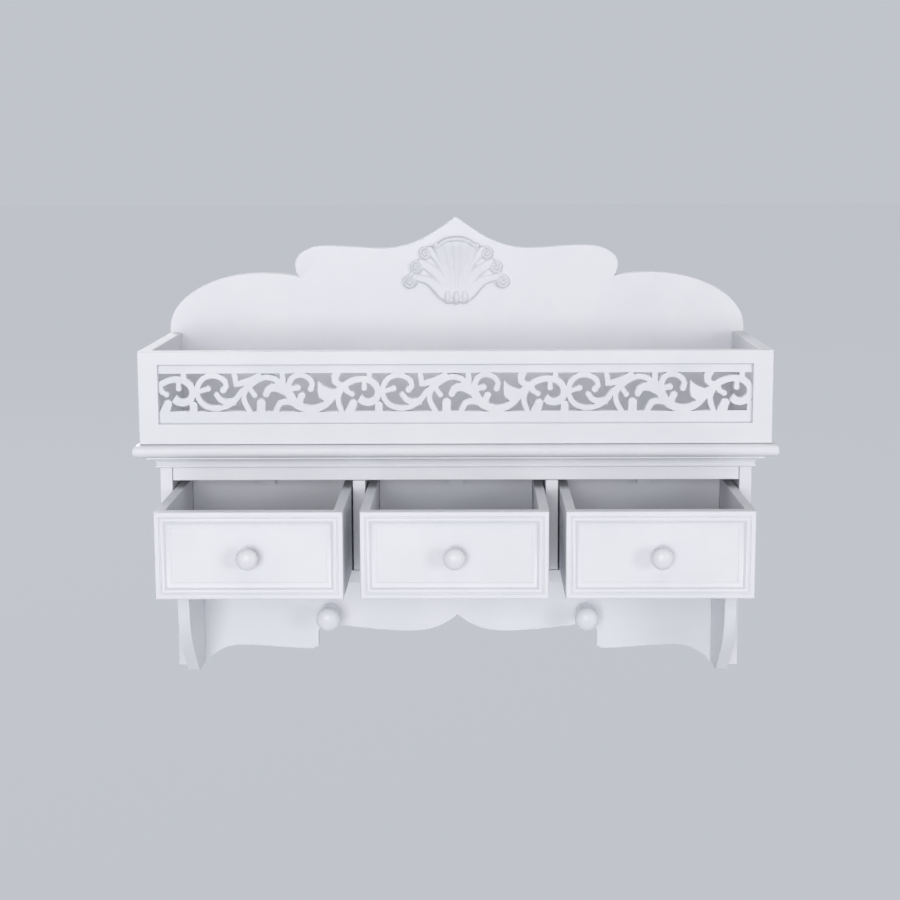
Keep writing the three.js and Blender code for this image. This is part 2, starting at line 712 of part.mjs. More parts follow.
function buildCarcase() {
  place("carcase_side_left", carcaseSide(), paint, [-carcaseInner, 0, 0]);
  place("carcase_side_right", carcaseSide(), paint, [carcaseHalf, 0, 0]);
  const x = carcaseInner - FIT;
  const railBack = carcaseFront + BOARD;
  const faceRail = block([-x, carcaseFront, openingTop], [x, railBack, shelfBottom - FIT]);
  const bottomBoard = block([-x, carcaseFront, carcaseBottom], [x, backFront - FIT, openingBottom]);
  place("face_rail", faceRail, paint);
  place("bottom_board", bottomBoard, paint);
  for (let i = 1; i < DRAWERS; i += 1) {
    const middle = (compartmentCentre(i - 1) + compartmentCentre(i)) / 2;
    place(`divider_${i}`, divider(), paint, [middle + BOARD / 2, 0, 0]);
  }
  for (let i = 0; i < DRAWERS; i += 1) {
    place(`drawer_stop_${i + 1}`, stopCleat(), insidePaint, [compartmentCentre(i), 0, 0]);
  }
}

/** Cleat under the shelf that a drawn-out drawer's back comes up against. */
function stopCleat() {
  const rear = drawerFace + drawerLength - DRAWER.boxThick - FIT;
  const half = STOP.width / 2;
  return block([-half, rear - STOP.thick, openingTop - STOP.below], [half, rear, shelfBottom - FIT]);
}

// ---------------------------------------------------------------- drawers

/** Section of the moulded face: inset from the front's edge, and depth below its highest part. */
function faceSection() {
  const m = FRONT_MOULDING;
  const round = [m.edgeRound, m.edgeRound];
  const edge = arcPoints([m.edgeRound, m.edgeDepth + m.edgeRound], round, 180, 270, FINE - 1);
  const quirk = [[m.quirk[0], m.edgeDepth], [m.quirk[1], m.beadDepth]];
  const bead = arcPoints([m.beadAt, m.beadDepth], [m.beadHalf, m.beadDepth], 180, 360, FINE);
  const coveDepth = PANEL_SUNK - m.coveTop - m.fillet;
  const cove = arcPoints([FRONT_FRAME - m.coveEnd, m.coveTop], [m.coveReach, coveDepth], 180, 90, FINE);
  const lip = [[FRONT_FRAME, PANEL_SUNK - m.fillet], [FRONT_FRAME + m.panelLip, PANEL_SUNK]];
  return [...edge, ...quirk, ...bead, ...cove, ...lip];
}

/** Drawer front with a moulded frame mitred round a sunk panel; its back face lies at y = 0. */
function drawerFront(width) {
  const half = width / 2;
  const height = DRAWER.frontHeight;
  const ring = (inset, y) => [
    [-half + inset, y, inset], [half - inset, y, inset],
    [half - inset, y, height - inset], [-half + inset, y, height - inset],
  ];
  const faceRings = faceSection().map(([inset, sunk]) => ring(inset, sunk - DRAWER.frontThick));
  const rings = [ring(0, 0), ...faceRings];
  const grooveFloor = DRAWER.boxThick - DRAWER.groove;
  const groove = block(
    [-half + grooveFloor, -DRAWER.groove - FIT, DRAWER.bottomRaise - FIT],
    [half - grooveFloor, OVERCUT, DRAWER.bottomRaise + DRAWER.bottomThick + FIT]);
  const bore = KNOB.screwHole / 2;
  const pilot = new THREE.CylinderGeometry(bore, bore, DRAWER.frontThick * 2, 12);
  pilot.translate(0, -DRAWER.frontThick / 2, height / 2);
  return carved(loft(rings, rings[0].map(([x, , z]) => [x, z])), [groove, pilot]);
}

/** Left side of the box, grooved on its right face for the bottom. */
function drawerSide() {
  const length = drawerLength - DRAWER.frontThick - FIT;
  const { boxThick, groove, bottomRaise, bottomThick, frontHeight } = DRAWER;
  return carved(block([0, 0, 0], [boxThick, length, frontHeight]), [
    block(
      [boxThick - groove - FIT, -OVERCUT, bottomRaise - FIT],
      [boxThick + OVERCUT, length + OVERCUT, bottomRaise + bottomThick + FIT]),
  ]);
}

/** Turned knob with a screw hole in its foot. */
function knob() {
  const head = KNOB.head / 2;
  const neck = KNOB.neck / 2;
  const crown = head * KNOB.crown;
  const headAt = KNOB.out - crown;
  return turned([
    [0, KNOB.screwHoleDeep],
    [KNOB.screwHole / 2, KNOB.screwHoleDeep - KNOB.screwPoint],
    [KNOB.screwHole / 2, 0],
    [KNOB.base / 2, 0],
    [KNOB.base / 2, KNOB.baseThick],
    [neck + KNOB.flare.wider, KNOB.flare.at],
    [neck, KNOB.neckAt],
    [neck + KNOB.throat.wider, headAt - KNOB.throat.behind],
    [head - KNOB.headEdge.inset, headAt - KNOB.headEdge.behind],
    ...arcPoints([0, headAt], [head, crown], 0, 90, DOME),
  ]);
}

/** One drawer, built from its lower front edge and drawn out against its stop. */
function buildDrawer(i) {
  const drawer = new THREE.Group();
  drawer.position.set(compartmentCentre(i), drawerFace, openingBottom + FIT);
  root.add(drawer);
  const add = (piece, geometry, material, at) => {
    place(`drawer_${i + 1}_${piece}`, geometry, material, at, drawer);
  };
  const { frontThick, frontHeight, boxThick, bottomRaise, bottomThick, groove } = DRAWER;
  const width = compartment - 2 * DRAWER.sideClearance;
  const half = width / 2;
  const inner = half - boxThick;
  const boxStart = frontThick + FIT;
  const floorTop = bottomRaise + bottomThick;
  const tongue = groove - FIT / 2;
  const sideLength = drawerLength - boxStart;
  const back = block(
    [-inner + FIT, drawerLength - boxThick, floorTop + FIT],
    [inner - FIT, drawerLength, frontHeight]);
  const bottom = block(
    [-inner - tongue, frontThick - tongue, bottomRaise],
    [inner + tongue, drawerLength, floorTop]);
  const rightSide = drawerSide().rotateZ(Math.PI).translate(0, sideLength, 0);
  add("front", drawerFront(width), paint, [0, frontThick, 0]);
  add("side_left", drawerSide(), insidePaint, [-half, boxStart, 0]);
  add("side_right", rightSide, insidePaint, [half, boxStart, 0]);
  add("back", back, insidePaint);
  add("bottom", bottom, insidePaint);
  add("knob", knob(), paint, [0, PANEL_SUNK - FIT, frontHeight / 2]);
}

// ---------------------------------------------------------------- shell carving on the crest

/** Tapered limb through points in X, depth and Z: rings of `sides` points, closed at both ends. */
function limb(points, radii, steps) {
  const sides = 8;
  const spine = new THREE.CatmullRomCurve3(points.map(([x, depth, z]) => new THREE.Vector3(x, -depth, z)));
  const radiusAt = new THREE.SplineCurve(radii.map((radius, i) => new THREE.Vector2(i, radius)));
  const turns = Array.from({ length: sides }, (_, j) => 2 * Math.PI * j / sides);
  const rings = Array.from({ length: steps + 1 }, (_, k) => {
    const at = spine.getPointAt(k / steps);
    const along = spine.getTangentAt(k / steps);
    const across = new THREE.Vector3(along.z, 0, -along.x).normalize();
    const over = new THREE.Vector3().crossVectors(along, across).normalize();
    const radius = radiusAt.getPoint(k / steps).y;
    return turns.map((turn) => at.clone()
      .addScaledVector(across, radius * Math.cos(turn))
      .addScaledVector(over, radius * Math.sin(turn))
      .toArray());
  });
  return loft(rings, turns.map((turn) => [Math.cos(turn), Math.sin(turn)]));
}

function ball([x, depth, z], [rx, ry, rz], around = 8, up = 6) {
  return new THREE.SphereGeometry(1, around, up).scale(rx, ry, rz).translate(x, -depth, z);
}

/** One flute of the fan: a long drop that leans out from the foot. */
function flute(lean) {
  const length = SHELL.fluteLength - Math.abs(lean) * SHELL.fluteShorter;
  const drop = ball([0, 0, length / 2], [SHELL.fluteWidth / 2, SHELL.fluteDepth, length / 2], 10, 8);
  return drop.rotateY(THREE.MathUtils.degToRad(lean)).translate(0, 0, SHELL.spring);
}

/** Leaf that leaves the foot sideways and curls round a button at its end. */
function curlingLeaf(side, { at: [curlX, curlZ], radius }) {
  const { rootX, depths, radii, belly, tip } = SHELL.leaf;
  const { curlRing, curlButton, spring } = SHELL;
  const bellyZ = THREE.MathUtils.lerp(spring, curlZ, belly[1]);
  const leaf = limb([
    [side * rootX, depths[0], spring],
    [side * curlX * belly[0], depths[1], bellyZ],
    [side * (curlX - radius * tip[0]), depths[2], curlZ + radius * tip[1]],
  ], radii, 6);
  const ring = new THREE.TorusGeometry(radius * curlRing.middle, radius * curlRing.round, 6, 12);
  ring.rotateX(Math.PI / 2).translate(side * curlX, -curlRing.depth, curlZ);
  const buttonRadius = radius * curlButton.round;
  const button = ball([side * curlX, curlButton.depth, curlZ], [buttonRadius, curlButton.bulge, buttonRadius]);
  return [leaf, ring, button];
}

/** Thin web that the flutes and the rolled top stand on. */
function fanWeb() {
  const { thick, foot, waist, shoulder, crownPull } = SHELL.web;
  const web = new THREE.Shape();
  web.moveTo(-foot, SHELL.spring);
  web.quadraticCurveTo(-waist[0], waist[1], -shoulder[0], shoulder[1]);
  web.quadraticCurveTo(0, crownPull, ...shoulder);
  web.quadraticCurveTo(...waist, foot, SHELL.spring);
  web.closePath();
  return standing(web, thick);
}

/** Rolled edge over the top of the fan. */
function topRoll() {
  const { through, radii } = SHELL.topRoll;
  const left = through.slice(1).reverse().map(([x, depth, z]) => [-x, depth, z]);
  return limb([...left, ...through], [...radii.slice(1).reverse(), ...radii], 8);
}

/** Grooved foot below the bowl: rounds that grow taller towards the middle. */
function shellFoot() {
  return SHELL.footRounds.flatMap(({ at, centre, radii }) => [
    ball([-at, 0, centre], radii),
    ball([at, 0, centre], radii),
  ]);
}

function shellCarving() {
  const { centre, radii } = SHELL.bowl;
  const bowl = ball([0, 0, centre], radii, 14, 8);
  const leaves = [-1, 1].flatMap((side) => SHELL.curls.flatMap((curl) => curlingLeaf(side, curl)));
  const flutes = SHELL.fluteLeans.map(flute);
  const carving = united([fanWeb(), ...flutes, topRoll(), ...leaves, ...shellFoot(), bowl]);
  return toGeometry(carving.trimByPlane([0, -1, 0], 0));
}

// ---------------------------------------------------------------- the whole piece

buildBack();
buildPegs();
buildGallery();
buildShelf();
buildMoulding();
buildCarcase();
for (let i = 0; i < DRAWERS; i += 1) {
  buildDrawer(i);
}
place("shell_carving", shellCarving(), carvedPaint, [0, backFront - FIT, rim + SHELL.aboveRim]);

export default root;
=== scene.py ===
"""Looks of a painted wall shelf: pierced gallery, carved shell, three drawers and two coat pegs."""

import logging
import math
from collections.abc import Sequence
from dataclasses import dataclass, field, replace
from enum import Enum
from typing import Any

import bmesh
import bpy
import numpy as np
from mathutils import Matrix, Vector
from mathutils.geometry import delaunay_2d_cdt


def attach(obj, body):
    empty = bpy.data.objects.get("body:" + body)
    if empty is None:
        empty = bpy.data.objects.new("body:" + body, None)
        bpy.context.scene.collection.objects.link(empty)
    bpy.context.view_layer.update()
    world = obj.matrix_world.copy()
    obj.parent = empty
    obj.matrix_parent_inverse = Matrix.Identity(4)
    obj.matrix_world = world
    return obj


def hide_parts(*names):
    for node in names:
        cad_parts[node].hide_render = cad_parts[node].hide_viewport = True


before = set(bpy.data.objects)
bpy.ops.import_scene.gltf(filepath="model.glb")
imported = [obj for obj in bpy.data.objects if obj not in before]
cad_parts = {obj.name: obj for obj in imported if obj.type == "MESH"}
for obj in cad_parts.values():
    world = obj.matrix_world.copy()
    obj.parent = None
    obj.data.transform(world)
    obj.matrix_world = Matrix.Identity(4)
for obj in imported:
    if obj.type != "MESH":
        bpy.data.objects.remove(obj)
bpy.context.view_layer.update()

MM = 0.001
TOUCHING = 1e-6  # metres; points of a solid nearer than this are one point, or lie in one plane
FLAT_DEG = 0.3  # faces that meet at less than this are one flat face
ARRIS_DEG = 40.0  # an edge sharper than this is an arris
SHARPEST_MITRE = 0.35  # keeps the mitre of a very sharp corner short
TIP_MM = 0.02  # radius of the tiny ring that closes a turned tip
X_AXIS, Y_AXIS = 0, 1
CARCASE = "carcase"
DRAWERS = 3

Point = tuple[float, float, float]
Profile = list[tuple[float, float]]

log = logging.getLogger("wall_shelf")


# ------------------------------------------------------------------ colours and nodes


def linear(colour: str) -> tuple[float, float, float, float]:
    """Turns an sRGB colour into linear light.

    Args:
        colour: Six hex digits after a hash sign.

    Returns:
        Red, green, blue and an alpha of one.
    """
    parts = [int(colour[i:i + 2], 16) / 255 for i in (1, 3, 5)]
    red, green, blue = (c / 12.92 if c <= 0.04045 else ((c + 0.055) / 1.055) ** 2.4 for c in parts)
    return red, green, blue, 1.0


def add_node(
    tree: bpy.types.NodeTree,
    kind: str,
    settings: dict[str | int, Any] | None = None,
    links: dict[str | int, bpy.types.NodeSocket] | None = None,
) -> bpy.types.Node:
    """Adds a node with its settings and links.

    Args:
        tree: The node tree to add to.
        kind: The node's type name.
        settings: Values by property name, or by the name or number of an input.
        links: Output sockets by the name or number of the input they feed.

    Returns:
        The new node.
    """
    made = tree.nodes.new(kind)
    for name, value in (settings or {}).items():
        if isinstance(name, str) and hasattr(made, name):
            setattr(made, name, value)
        else:
            made.inputs[name].default_value = value
    for name, source in (links or {}).items():
        tree.links.new(source, made.inputs[name])
    return made


def blank_tree(holder: bpy.types.Material | bpy.types.World) -> bpy.types.NodeTree:
    """Clears the nodes of a material or a world, ready for its own.

    Args:
        holder: The material or the world.

    Returns:
        Its empty node tree.
    """
    holder.use_nodes = True
    holder.node_tree.nodes.clear()
    return holder.node_tree


class Grain(Enum):
    """Way in which the marks of a coat or a metal run; the values stretch a pattern's axes."""

    NONE = (1.0, 1.0, 1.0)
    ALONG_X = (0.05, 1.0, 1.0)
    ALONG_Y = (1.0, 0.05, 1.0)
    ALONG_Z = (1.0, 1.0, 0.05)


class Slot(Enum):
    """Material slots of the record."""

    PAINT = "paint"
    CARVED = "carved_paint"
    INSIDE = "inside_paint"
    ZINC = "zinc_steel"


# ------------------------------------------------------------------ finishes


@dataclass(frozen=True)
class SatinEnamel:
    """Water-based satin enamel, sprayed on primed fibreboard or beech and rubbed down between coats.

    The gun leaves a low orange peel that breaks up the edges of highlights. Marks of fibre and of the
    rubbing pad show faintly along the board. The coat is fuller in places, so the white drifts by a
    shade. In carving, shade is painted into the hollows by ambient occlusion, so they look greyer.
    """

    name: str
    slot: Slot
    colour: str = "#E8E8ED"
    thin_colour: str = "#E4E5EA"
    roughness: float = 0.40
    grain: Grain = Grain.NONE
    peel_mm: float = 2.2  # spacing of the orange peel, whose real 1 mm is too fine to show
    peel_height_mm: float = 0.022
    fibre_mm: float = 1.1
    fibre_height_mm: float = 0.012
    drift_mm: float = 80.0  # size of the patches in which the coat is fuller
    painted_shade_mm: float = 0.0  # reach of the shade painted into hollows by ambient occlusion; none where it is zero
    # colour of the shade painted into hollows
    painted_shade_colour: str = "#B4B5BF"

    def make(self) -> bpy.types.Material:
        """Builds the material."""
        material = bpy.data.materials.new(self.name)
        tree = blank_tree(material)
        place = add_node(tree, "ShaderNodeTexCoord").outputs["Object"]
        drift = add_node(
            tree, "ShaderNodeTexNoise", {"Scale": 1 / (self.drift_mm * MM), "Detail": 4.0}, {"Vector": place})
        full = add_node(
            tree, "ShaderNodeMapRange", {"From Min": 0.38, "From Max": 0.62}, {"Value": drift.outputs[0]})
        tone = add_node(
            tree, "ShaderNodeMix",
            {"data_type": "RGBA", 6: linear(self.thin_colour), 7: linear(self.colour)},
            {0: full.outputs[0]}).outputs[2]
        if self.painted_shade_mm:
            tone = self._paint_shade_in_hollows(tree, tone)
        dull = add_node(
            tree, "ShaderNodeMapRange",
            {"To Min": self.roughness - 0.05, "To Max": self.roughness + 0.07},
            {"Value": drift.outputs[0]})
        shader = add_node(
            tree, "ShaderNodeBsdfPrincipled", {"IOR": 1.5},
            {"Base Color": tone, "Roughness": dull.outputs[0], "Normal": self._relief(tree, place)})
        add_node(tree, "ShaderNodeOutputMaterial", None, {"Surface": shader.outputs[0]})
        return material

    def _paint_shade_in_hollows(
        self, tree: bpy.types.NodeTree, tone: bpy.types.NodeSocket
    ) -> bpy.types.NodeSocket:
        """Paints shade into the coat where the surface is hollow, by ambient occlusion.

        Args:
            tree: The material's nodes.
            tone: Colour of the open coat.

        Returns:
            The colour with painted shade in its hollows.
        """
        # painted shade: ambient occlusion greys the colour in hollows
        hollow = add_node(
            tree, "ShaderNodeAmbientOcclusion", {"samples": 8, "Distance": self.painted_shade_mm * MM})
        unshaded_share = add_node(
            tree, "ShaderNodeMapRange", {"From Min": 0.25, "From Max": 0.85}, {"Value": hollow.outputs["AO"]})
        return add_node(
            tree, "ShaderNodeMix", {"data_type": "RGBA", 6: linear(self.painted_shade_colour)},
            {0: unshaded_share.outputs[0], 7: tone}).outputs[2]

    def _relief(self, tree: bpy.types.NodeTree, place: bpy.types.NodeSocket) -> bpy.types.NodeSocket:
        """Lays the fibre marks and then the orange peel.

        Args:
            tree: The material's nodes.
            place: Coordinates on the object.

        Returns:
            The surface normal.
        """
        along = add_node(
            tree, "ShaderNodeVectorMath", {"operation": "MULTIPLY", 1: self.grain.value}, {0: place})
        fibre = add_node(
            tree, "ShaderNodeTexNoise", {"Scale": 1 / (self.fibre_mm * MM), "Detail": 3.0},
            {"Vector": along.outputs[0]})
        peel = add_node(
            tree, "ShaderNodeTexNoise", {"Scale": 1 / (self.peel_mm * MM), "Detail": 1.0}, {"Vector": place})
        lower = add_node(
            tree, "ShaderNodeBump", {"Distance": self.fibre_height_mm * MM}, {"Height": fibre.outputs[0]})
        upper = add_node(
            tree, "ShaderNodeBump", {"Distance": self.peel_height_mm * MM},
            {"Height": peel.outputs[0], "Normal": lower.outputs[0]})
        return upper.outputs[0]


@dataclass(frozen=True)
class ZincPlate:
    """Bright zinc plate on pressed steel: a cool grey metal with soft crystals and the press's fine lines."""

    name: str
    slot: Slot = Slot.ZINC
    colour: str = "#C9CCD0"
    shade: str = "#AEB2B8"
    roughness: float = 0.33
    crystal_mm: float = 3.0
    line_mm: float = 0.5
    line_height_mm: float = 0.006

    def make(self) -> bpy.types.Material:
        """Builds the material."""
        material = bpy.data.materials.new(self.name)
        tree = blank_tree(material)
        place = add_node(tree, "ShaderNodeTexCoord").outputs["Object"]
        crystal = add_node(
            tree, "ShaderNodeTexVoronoi", {"Scale": 1 / (self.crystal_mm * MM)}, {"Vector": place})
        share = add_node(
            tree, "ShaderNodeMapRange", {"From Max": 0.9}, {"Value": crystal.outputs["Distance"]})
        tone = add_node(
            tree, "ShaderNodeMix", {"data_type": "RGBA", 6: linear(self.colour), 7: linear(self.shade)},
            {0: share.outputs[0]})
        dull = add_node(
            tree, "ShaderNodeMapRange",
            {"To Min": self.roughness - 0.06, "To Max": self.roughness + 0.08}, {"Value": share.outputs[0]})
        along = add_node(
            tree, "ShaderNodeVectorMath", {"operation": "MULTIPLY", 1: Grain.ALONG_Z.value}, {0: place})
        line = add_node(
            tree, "ShaderNodeTexNoise", {"Scale": 1 / (self.line_mm * MM)}, {"Vector": along.outputs[0]})
        relief = add_node(
            tree, "ShaderNodeBump", {"Distance": self.line_height_mm * MM}, {"Height": line.outputs[0]})
        shader = add_node(
            tree, "ShaderNodeBsdfPrincipled", {"Metallic": 1.0},
            {"Base Color": tone.outputs[2], "Roughness": dull.outputs[0], "Normal": relief.outputs[0]})
        add_node(tree, "ShaderNodeOutputMaterial", None, {"Surface": shader.outputs[0]})
        return material


Finish = SatinEnamel | ZincPlate

LONG_BOARD = SatinEnamel("satin_enamel_on_long_board", Slot.PAINT, grain=Grain.ALONG_X)
DEEP_BOARD = SatinEnamel("satin_enamel_on_deep_board", Slot.PAINT, grain=Grain.ALONG_Y)
TALL_BOARD = SatinEnamel("satin_enamel_on_tall_board", Slot.PAINT, grain=Grain.ALONG_Z)
TURNED_BEECH = SatinEnamel("satin_enamel_on_turned_beech", Slot.PAINT, roughness=0.34, fibre_height_mm=0.006)
# the carving's hollows get painted shade, greyed by ambient occlusion
CARVING = SatinEnamel(
    "satin_enamel_in_carving", Slot.CARVED, thin_colour="#E2E3E9", roughness=0.44, painted_shade_mm=2.6)
DRAWER_WOOD = SatinEnamel(
    "thin_enamel_on_drawer_wood", Slot.INSIDE, colour="#E4E5EA", thin_colour="#DCDEE4", roughness=0.52,
    grain=Grain.ALONG_Y, fibre_mm=1.6, fibre_height_mm=0.05, peel_height_mm=0.012)
DRAWER_CROSS_WOOD = replace(DRAWER_WOOD, name="thin_enamel_on_cross_wood", grain=Grain.ALONG_X)
ZINC = ZincPlate("bright_zinc_plate")


# ------------------------------------------------------------------ meshes


def coat(thing: bpy.types.Object, finish: Finish) -> None:
    """Gives an object a finish, whose material is built at its first use."""
    thing.data.materials.clear()
    thing.data.materials.append(bpy.data.materials.get(finish.name) or finish.make())


def finish_piece(
    piece: bpy.types.Object, finish: Finish, body: str, replaced: Sequence[str] = ()
) -> None:
    """Gives a piece its finish and body, hides the solids that it stands for and names them.

    Args:
        piece: The piece, in place.
        finish: What it is painted or plated with.
        body: The body that it rides on.
        replaced: Solids that it stands for.
    """
    coat(piece, finish)
    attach(piece, body)
    if replaced:
        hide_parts(*replaced)
    log.info("%s rides on %s, stands for %s", piece.name, body, ", ".join(replaced) or "nothing")


def dress_solid(node: str, finish: Finish) -> None:
    """Gives a solid that stays its finish."""
    coat(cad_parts[node], finish)
    log.info("%s keeps its solid", node)


def linked(name: str, mesh: bpy.types.Mesh) -> bpy.types.Object:
    """Puts a mesh in the scene.

    Args:
        name: The new object's name.
        mesh: Its mesh.

    Returns:
        The new object.
    """
    piece = bpy.data.objects.new(name, mesh)
    bpy.context.scene.collection.objects.link(piece)
    return piece


def shape_from(points: Sequence[Point], faces: Sequence[Sequence[int]]) -> bmesh.types.BMesh:
    """Builds a shape that can be worked on.

    Args:
        points: Its points, in metres.
        faces: Numbers of the points round each face.

    Returns:
        The shape.
    """
    draft = bpy.data.meshes.new("draft")
    draft.from_pydata(points, [], faces)
    shape = bmesh.new()
    shape.from_mesh(draft)
    bpy.data.meshes.remove(draft)
    return shape


def shape_of_solid(node: str) -> bmesh.types.BMesh:
    """Copies a solid's shape, with its points joined.

    Args:
        node: The solid.

    Returns:
        The shape.
    """
    shape = bmesh.new()
    shape.from_mesh(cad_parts[node].data)
    bmesh.ops.remove_doubles(shape, verts=shape.verts, dist=TOUCHING)
    return shape


def join_flat_faces(shape: bmesh.types.BMesh) -> None:
    """Joins the triangles of each flat face."""
    bmesh.ops.dissolve_limit(
        shape, angle_limit=math.radians(FLAT_DEG), verts=shape.verts, edges=shape.edges)


def baked(name: str, shape: bmesh.types.BMesh) -> bpy.types.Mesh:
    """Turns a shape into a mesh, and frees the shape.

    Args:
        name: The mesh's name.
        shape: The shape.

    Returns:
        The mesh.
    """
    mesh = bpy.data.meshes.new(name)
    shape.to_mesh(mesh)
    shape.free()
    return mesh


def smoothed(mesh: bpy.types.Mesh, degrees: float) -> bpy.types.Mesh:
    """Shades a mesh smooth, but for its sharp edges.

    Args:
        mesh: The mesh.
        degrees: Angle from which an edge is sharp.

    Returns:
        The same mesh.
    """
    mesh.shade_smooth()
    mesh.set_sharp_from_angle(angle=math.radians(degrees))
    return mesh


def from_rings(name: str, rings: Sequence[Sequence[Point]], closed: bool = False) -> bpy.types.Mesh:
    """Skins closed rings of equal count.

    Args:
        name: The mesh's name.
        rings: Points of each ring, in metres.
        closed: Whether the last ring joins the first; if not, both ends are capped.

    Returns:
        The mesh, with its faces turned outwards.
    """
    count = len(rings[0])
    faces: list[Sequence[int]] = []
    for r in range(len(rings) if closed else len(rings) - 1):
        lower, upper = r * count, (r + 1) % len(rings) * count
        for i in range(count):
            j = (i + 1) % count
            faces.append((lower + i, lower + j, upper + j, upper + i))
    if not closed:
        faces.append(tuple(range(count)))
        faces.append(tuple((len(rings) - 1) * count + i for i in range(count)))
    shape = shape_from([p for ring in rings for p in ring], faces)
    bmesh.ops.remove_doubles(shape, verts=shape.verts, dist=TOUCHING / 10)
    bmesh.ops.recalc_face_normals(shape, faces=shape.faces)
    return baked(name, shape)


def eased_copy(name: str, node: str, easing_mm: float) -> bpy.types.Object:
    """Copies a board and eases its arrises.

    Args:
        name: The new piece's name.
        node: The solid to copy.
        easing_mm: How far the round runs in from each arris.

    Returns:
        The new piece.
    """
    shape = shape_of_solid(node)
    join_flat_faces(shape)
    arris = [e for e in shape.edges if e.is_manifold and e.calc_face_angle() > math.radians(ARRIS_DEG)]
    bmesh.ops.bevel(
        shape, geom=arris, offset=easing_mm * MM, segments=3, profile=0.5, affect="EDGES",
        clamp_overlap=True)
    return board(name, baked(name, shape))


def eased_outline(
    name: str, node: str, axis: int, easing_mm: float, segments: int = 4, tip_mm: float = 0.0,
    swell_mm: float = 0.0,
) -> bpy.types.Object:
    """Copies a board with a shaped outline and eases the arrises of its two broad faces.

    Args:
        name: The new piece's name.
        node: The solid to copy.
        axis: Axis through the board's thickness.
        easing_mm: How far the round runs in from each arris.
        segments: Facets across the round.
        tip_mm: How far a round runs down from the outline's highest point; none where it is zero.
        swell_mm: Thickness that the paint adds to the outline.

    Returns:
        The new piece.
    """
    shape = shape_of_solid(node)
    if tip_mm:
        round_off_tip(shape, axis, tip_mm)
    for plane in (min, max):
        level = plane(v.co[axis] for v in shape.verts)
        ease_face(shape, axis, level, easing_mm * MM, segments, swell_mm * MM)
    bmesh.ops.recalc_face_normals(shape, faces=shape.faces)
    torn = sum(not e.is_manifold for e in shape.edges)
    if torn:
        log.warning("%s has %d open edges", name, torn)
    return board(name, baked(name, shape))


def round_off_tip(shape: bmesh.types.BMesh, axis: int, reach_mm: float) -> None:
    """Rounds the arris at a board's highest point.

    Args:
        shape: The board.
        axis: Axis through its thickness.
        reach_mm: How far the round runs down from the tip.
    """
    join_flat_faces(shape)
    top = max(v.co.z for v in shape.verts)
    tip = [e for e in shape.edges if all(v.co.z > top - TOUCHING for v in e.verts)
           and abs(e.verts[0].co[axis] - e.verts[1].co[axis]) > TOUCHING]
    bmesh.ops.bevel(
        shape, geom=tip, offset=reach_mm * MM, segments=8, profile=0.5, affect="EDGES")


def ease_face(
    shape: bmesh.types.BMesh, axis: int, level: float, radius: float, segments: int, swell: float = 0.0
) -> None:
    """Rounds every arris of one broad face of a board, and fills the face again.

    Args:
        shape: The board.
        axis: Axis through its thickness.
        level: Where the face lies on that axis, in metres.
        radius: Radius of the round, in metres.
        segments: Facets across the round.
        swell: How far the outline is moved out first, in metres.
    """

    def lies_in_plane(part: bmesh.types.BMEdge | bmesh.types.BMFace) -> bool:
        """Tells whether an edge or a face lies in the plane of the broad face."""
        return all(abs(v.co[axis] - level) < TOUCHING for v in part.verts)

    face = {f for f in shape.faces if lies_in_plane(f)}
    facing = next(iter(face)).normal.copy()
    follow, lead = {}, {}
    for loop in (loop for f in face for loop in f.loops):
        if any(other not in face for other in loop.edge.link_faces):
            follow[loop.vert] = loop.link_loop_next.vert
            lead[loop.link_loop_next.vert] = loop.vert
    inward = {}
    for vert, after in follow.items():
        came = facing.cross((vert.co - lead[vert].co).normalized())
        goes = facing.cross((after.co - vert.co).normalized())
        inward[vert] = (came + goes) / max(SHARPEST_MITRE, 1 + came.dot(goes))
    bmesh.ops.delete(shape, geom=list(face), context="FACES_ONLY")
    loose = [e for e in shape.edges if not e.link_faces and lies_in_plane(e)]
    bmesh.ops.delete(shape, geom=loose, context="EDGES")
    at = {vert: vert.co - inward[vert] * swell for vert in follow}
    below = dict(zip(follow, follow))
    for vert in follow:
        vert.co = at[vert] - facing * radius
    for step in range(1, segments + 1):
        turn = math.pi / 2 * step / segments
        inset, depth = radius * (1 - math.cos(turn)), radius * (1 - math.sin(turn))
        above = {v: shape.verts.new(at[v] + inward[v] * inset - facing * depth) for v in follow}
        for vert, after in follow.items():
            shape.faces.new((below[vert], below[after], above[after], above[vert]))
        below = above
    fill_face(shape, axis, level, [(below[vert], below[after]) for vert, after in follow.items()])


def fill_face(
    shape: bmesh.types.BMesh, axis: int, level: float,
    rim: Sequence[tuple[bmesh.types.BMVert, bmesh.types.BMVert]],
) -> None:
    """Fills a flat face with triangles, and leaves its holes open.

    Args:
        shape: The board.
        axis: Axis that the face is square to.
        level: Where the face lies on that axis, in metres.
        rim: Ends of every edge round the face and round its holes.
    """
    verts = [start for start, _ in rim]
    number = {vert: i for i, vert in enumerate(verts)}
    across, up = (i for i in range(3) if i != axis)
    flat = [Vector((vert.co[across], vert.co[up])) for vert in verts]
    edges = [(number[start], number[end]) for start, end in rim]
    inside_only, nearest = 1, 1e-9
    places, _, triangles, sources, _, _ = delaunay_2d_cdt(flat, edges, [], inside_only, nearest)
    made = []
    for place, source in zip(places, sources):
        if source:
            made.append(verts[source[0]])
            continue
        corner = Vector((level,) * 3)
        corner[across], corner[up] = place
        made.append(shape.verts.new(corner))
    ends = np.array([[flat[i], flat[j]] for i, j in edges])
    (x0, z0), (x1, z1) = ends[:, 0].T, ends[:, 1].T
    for triangle in triangles:
        x, z = sum((Vector(places[i]) for i in triangle), Vector((0, 0))) / 3
        spans = (z0 > z) != (z1 > z)
        crossings = x < x0[spans] + (z - z0[spans]) / (z1[spans] - z0[spans]) * (x1[spans] - x0[spans])
        if crossings.sum() % 2:
            shape.faces.new([made[i] for i in triangle])


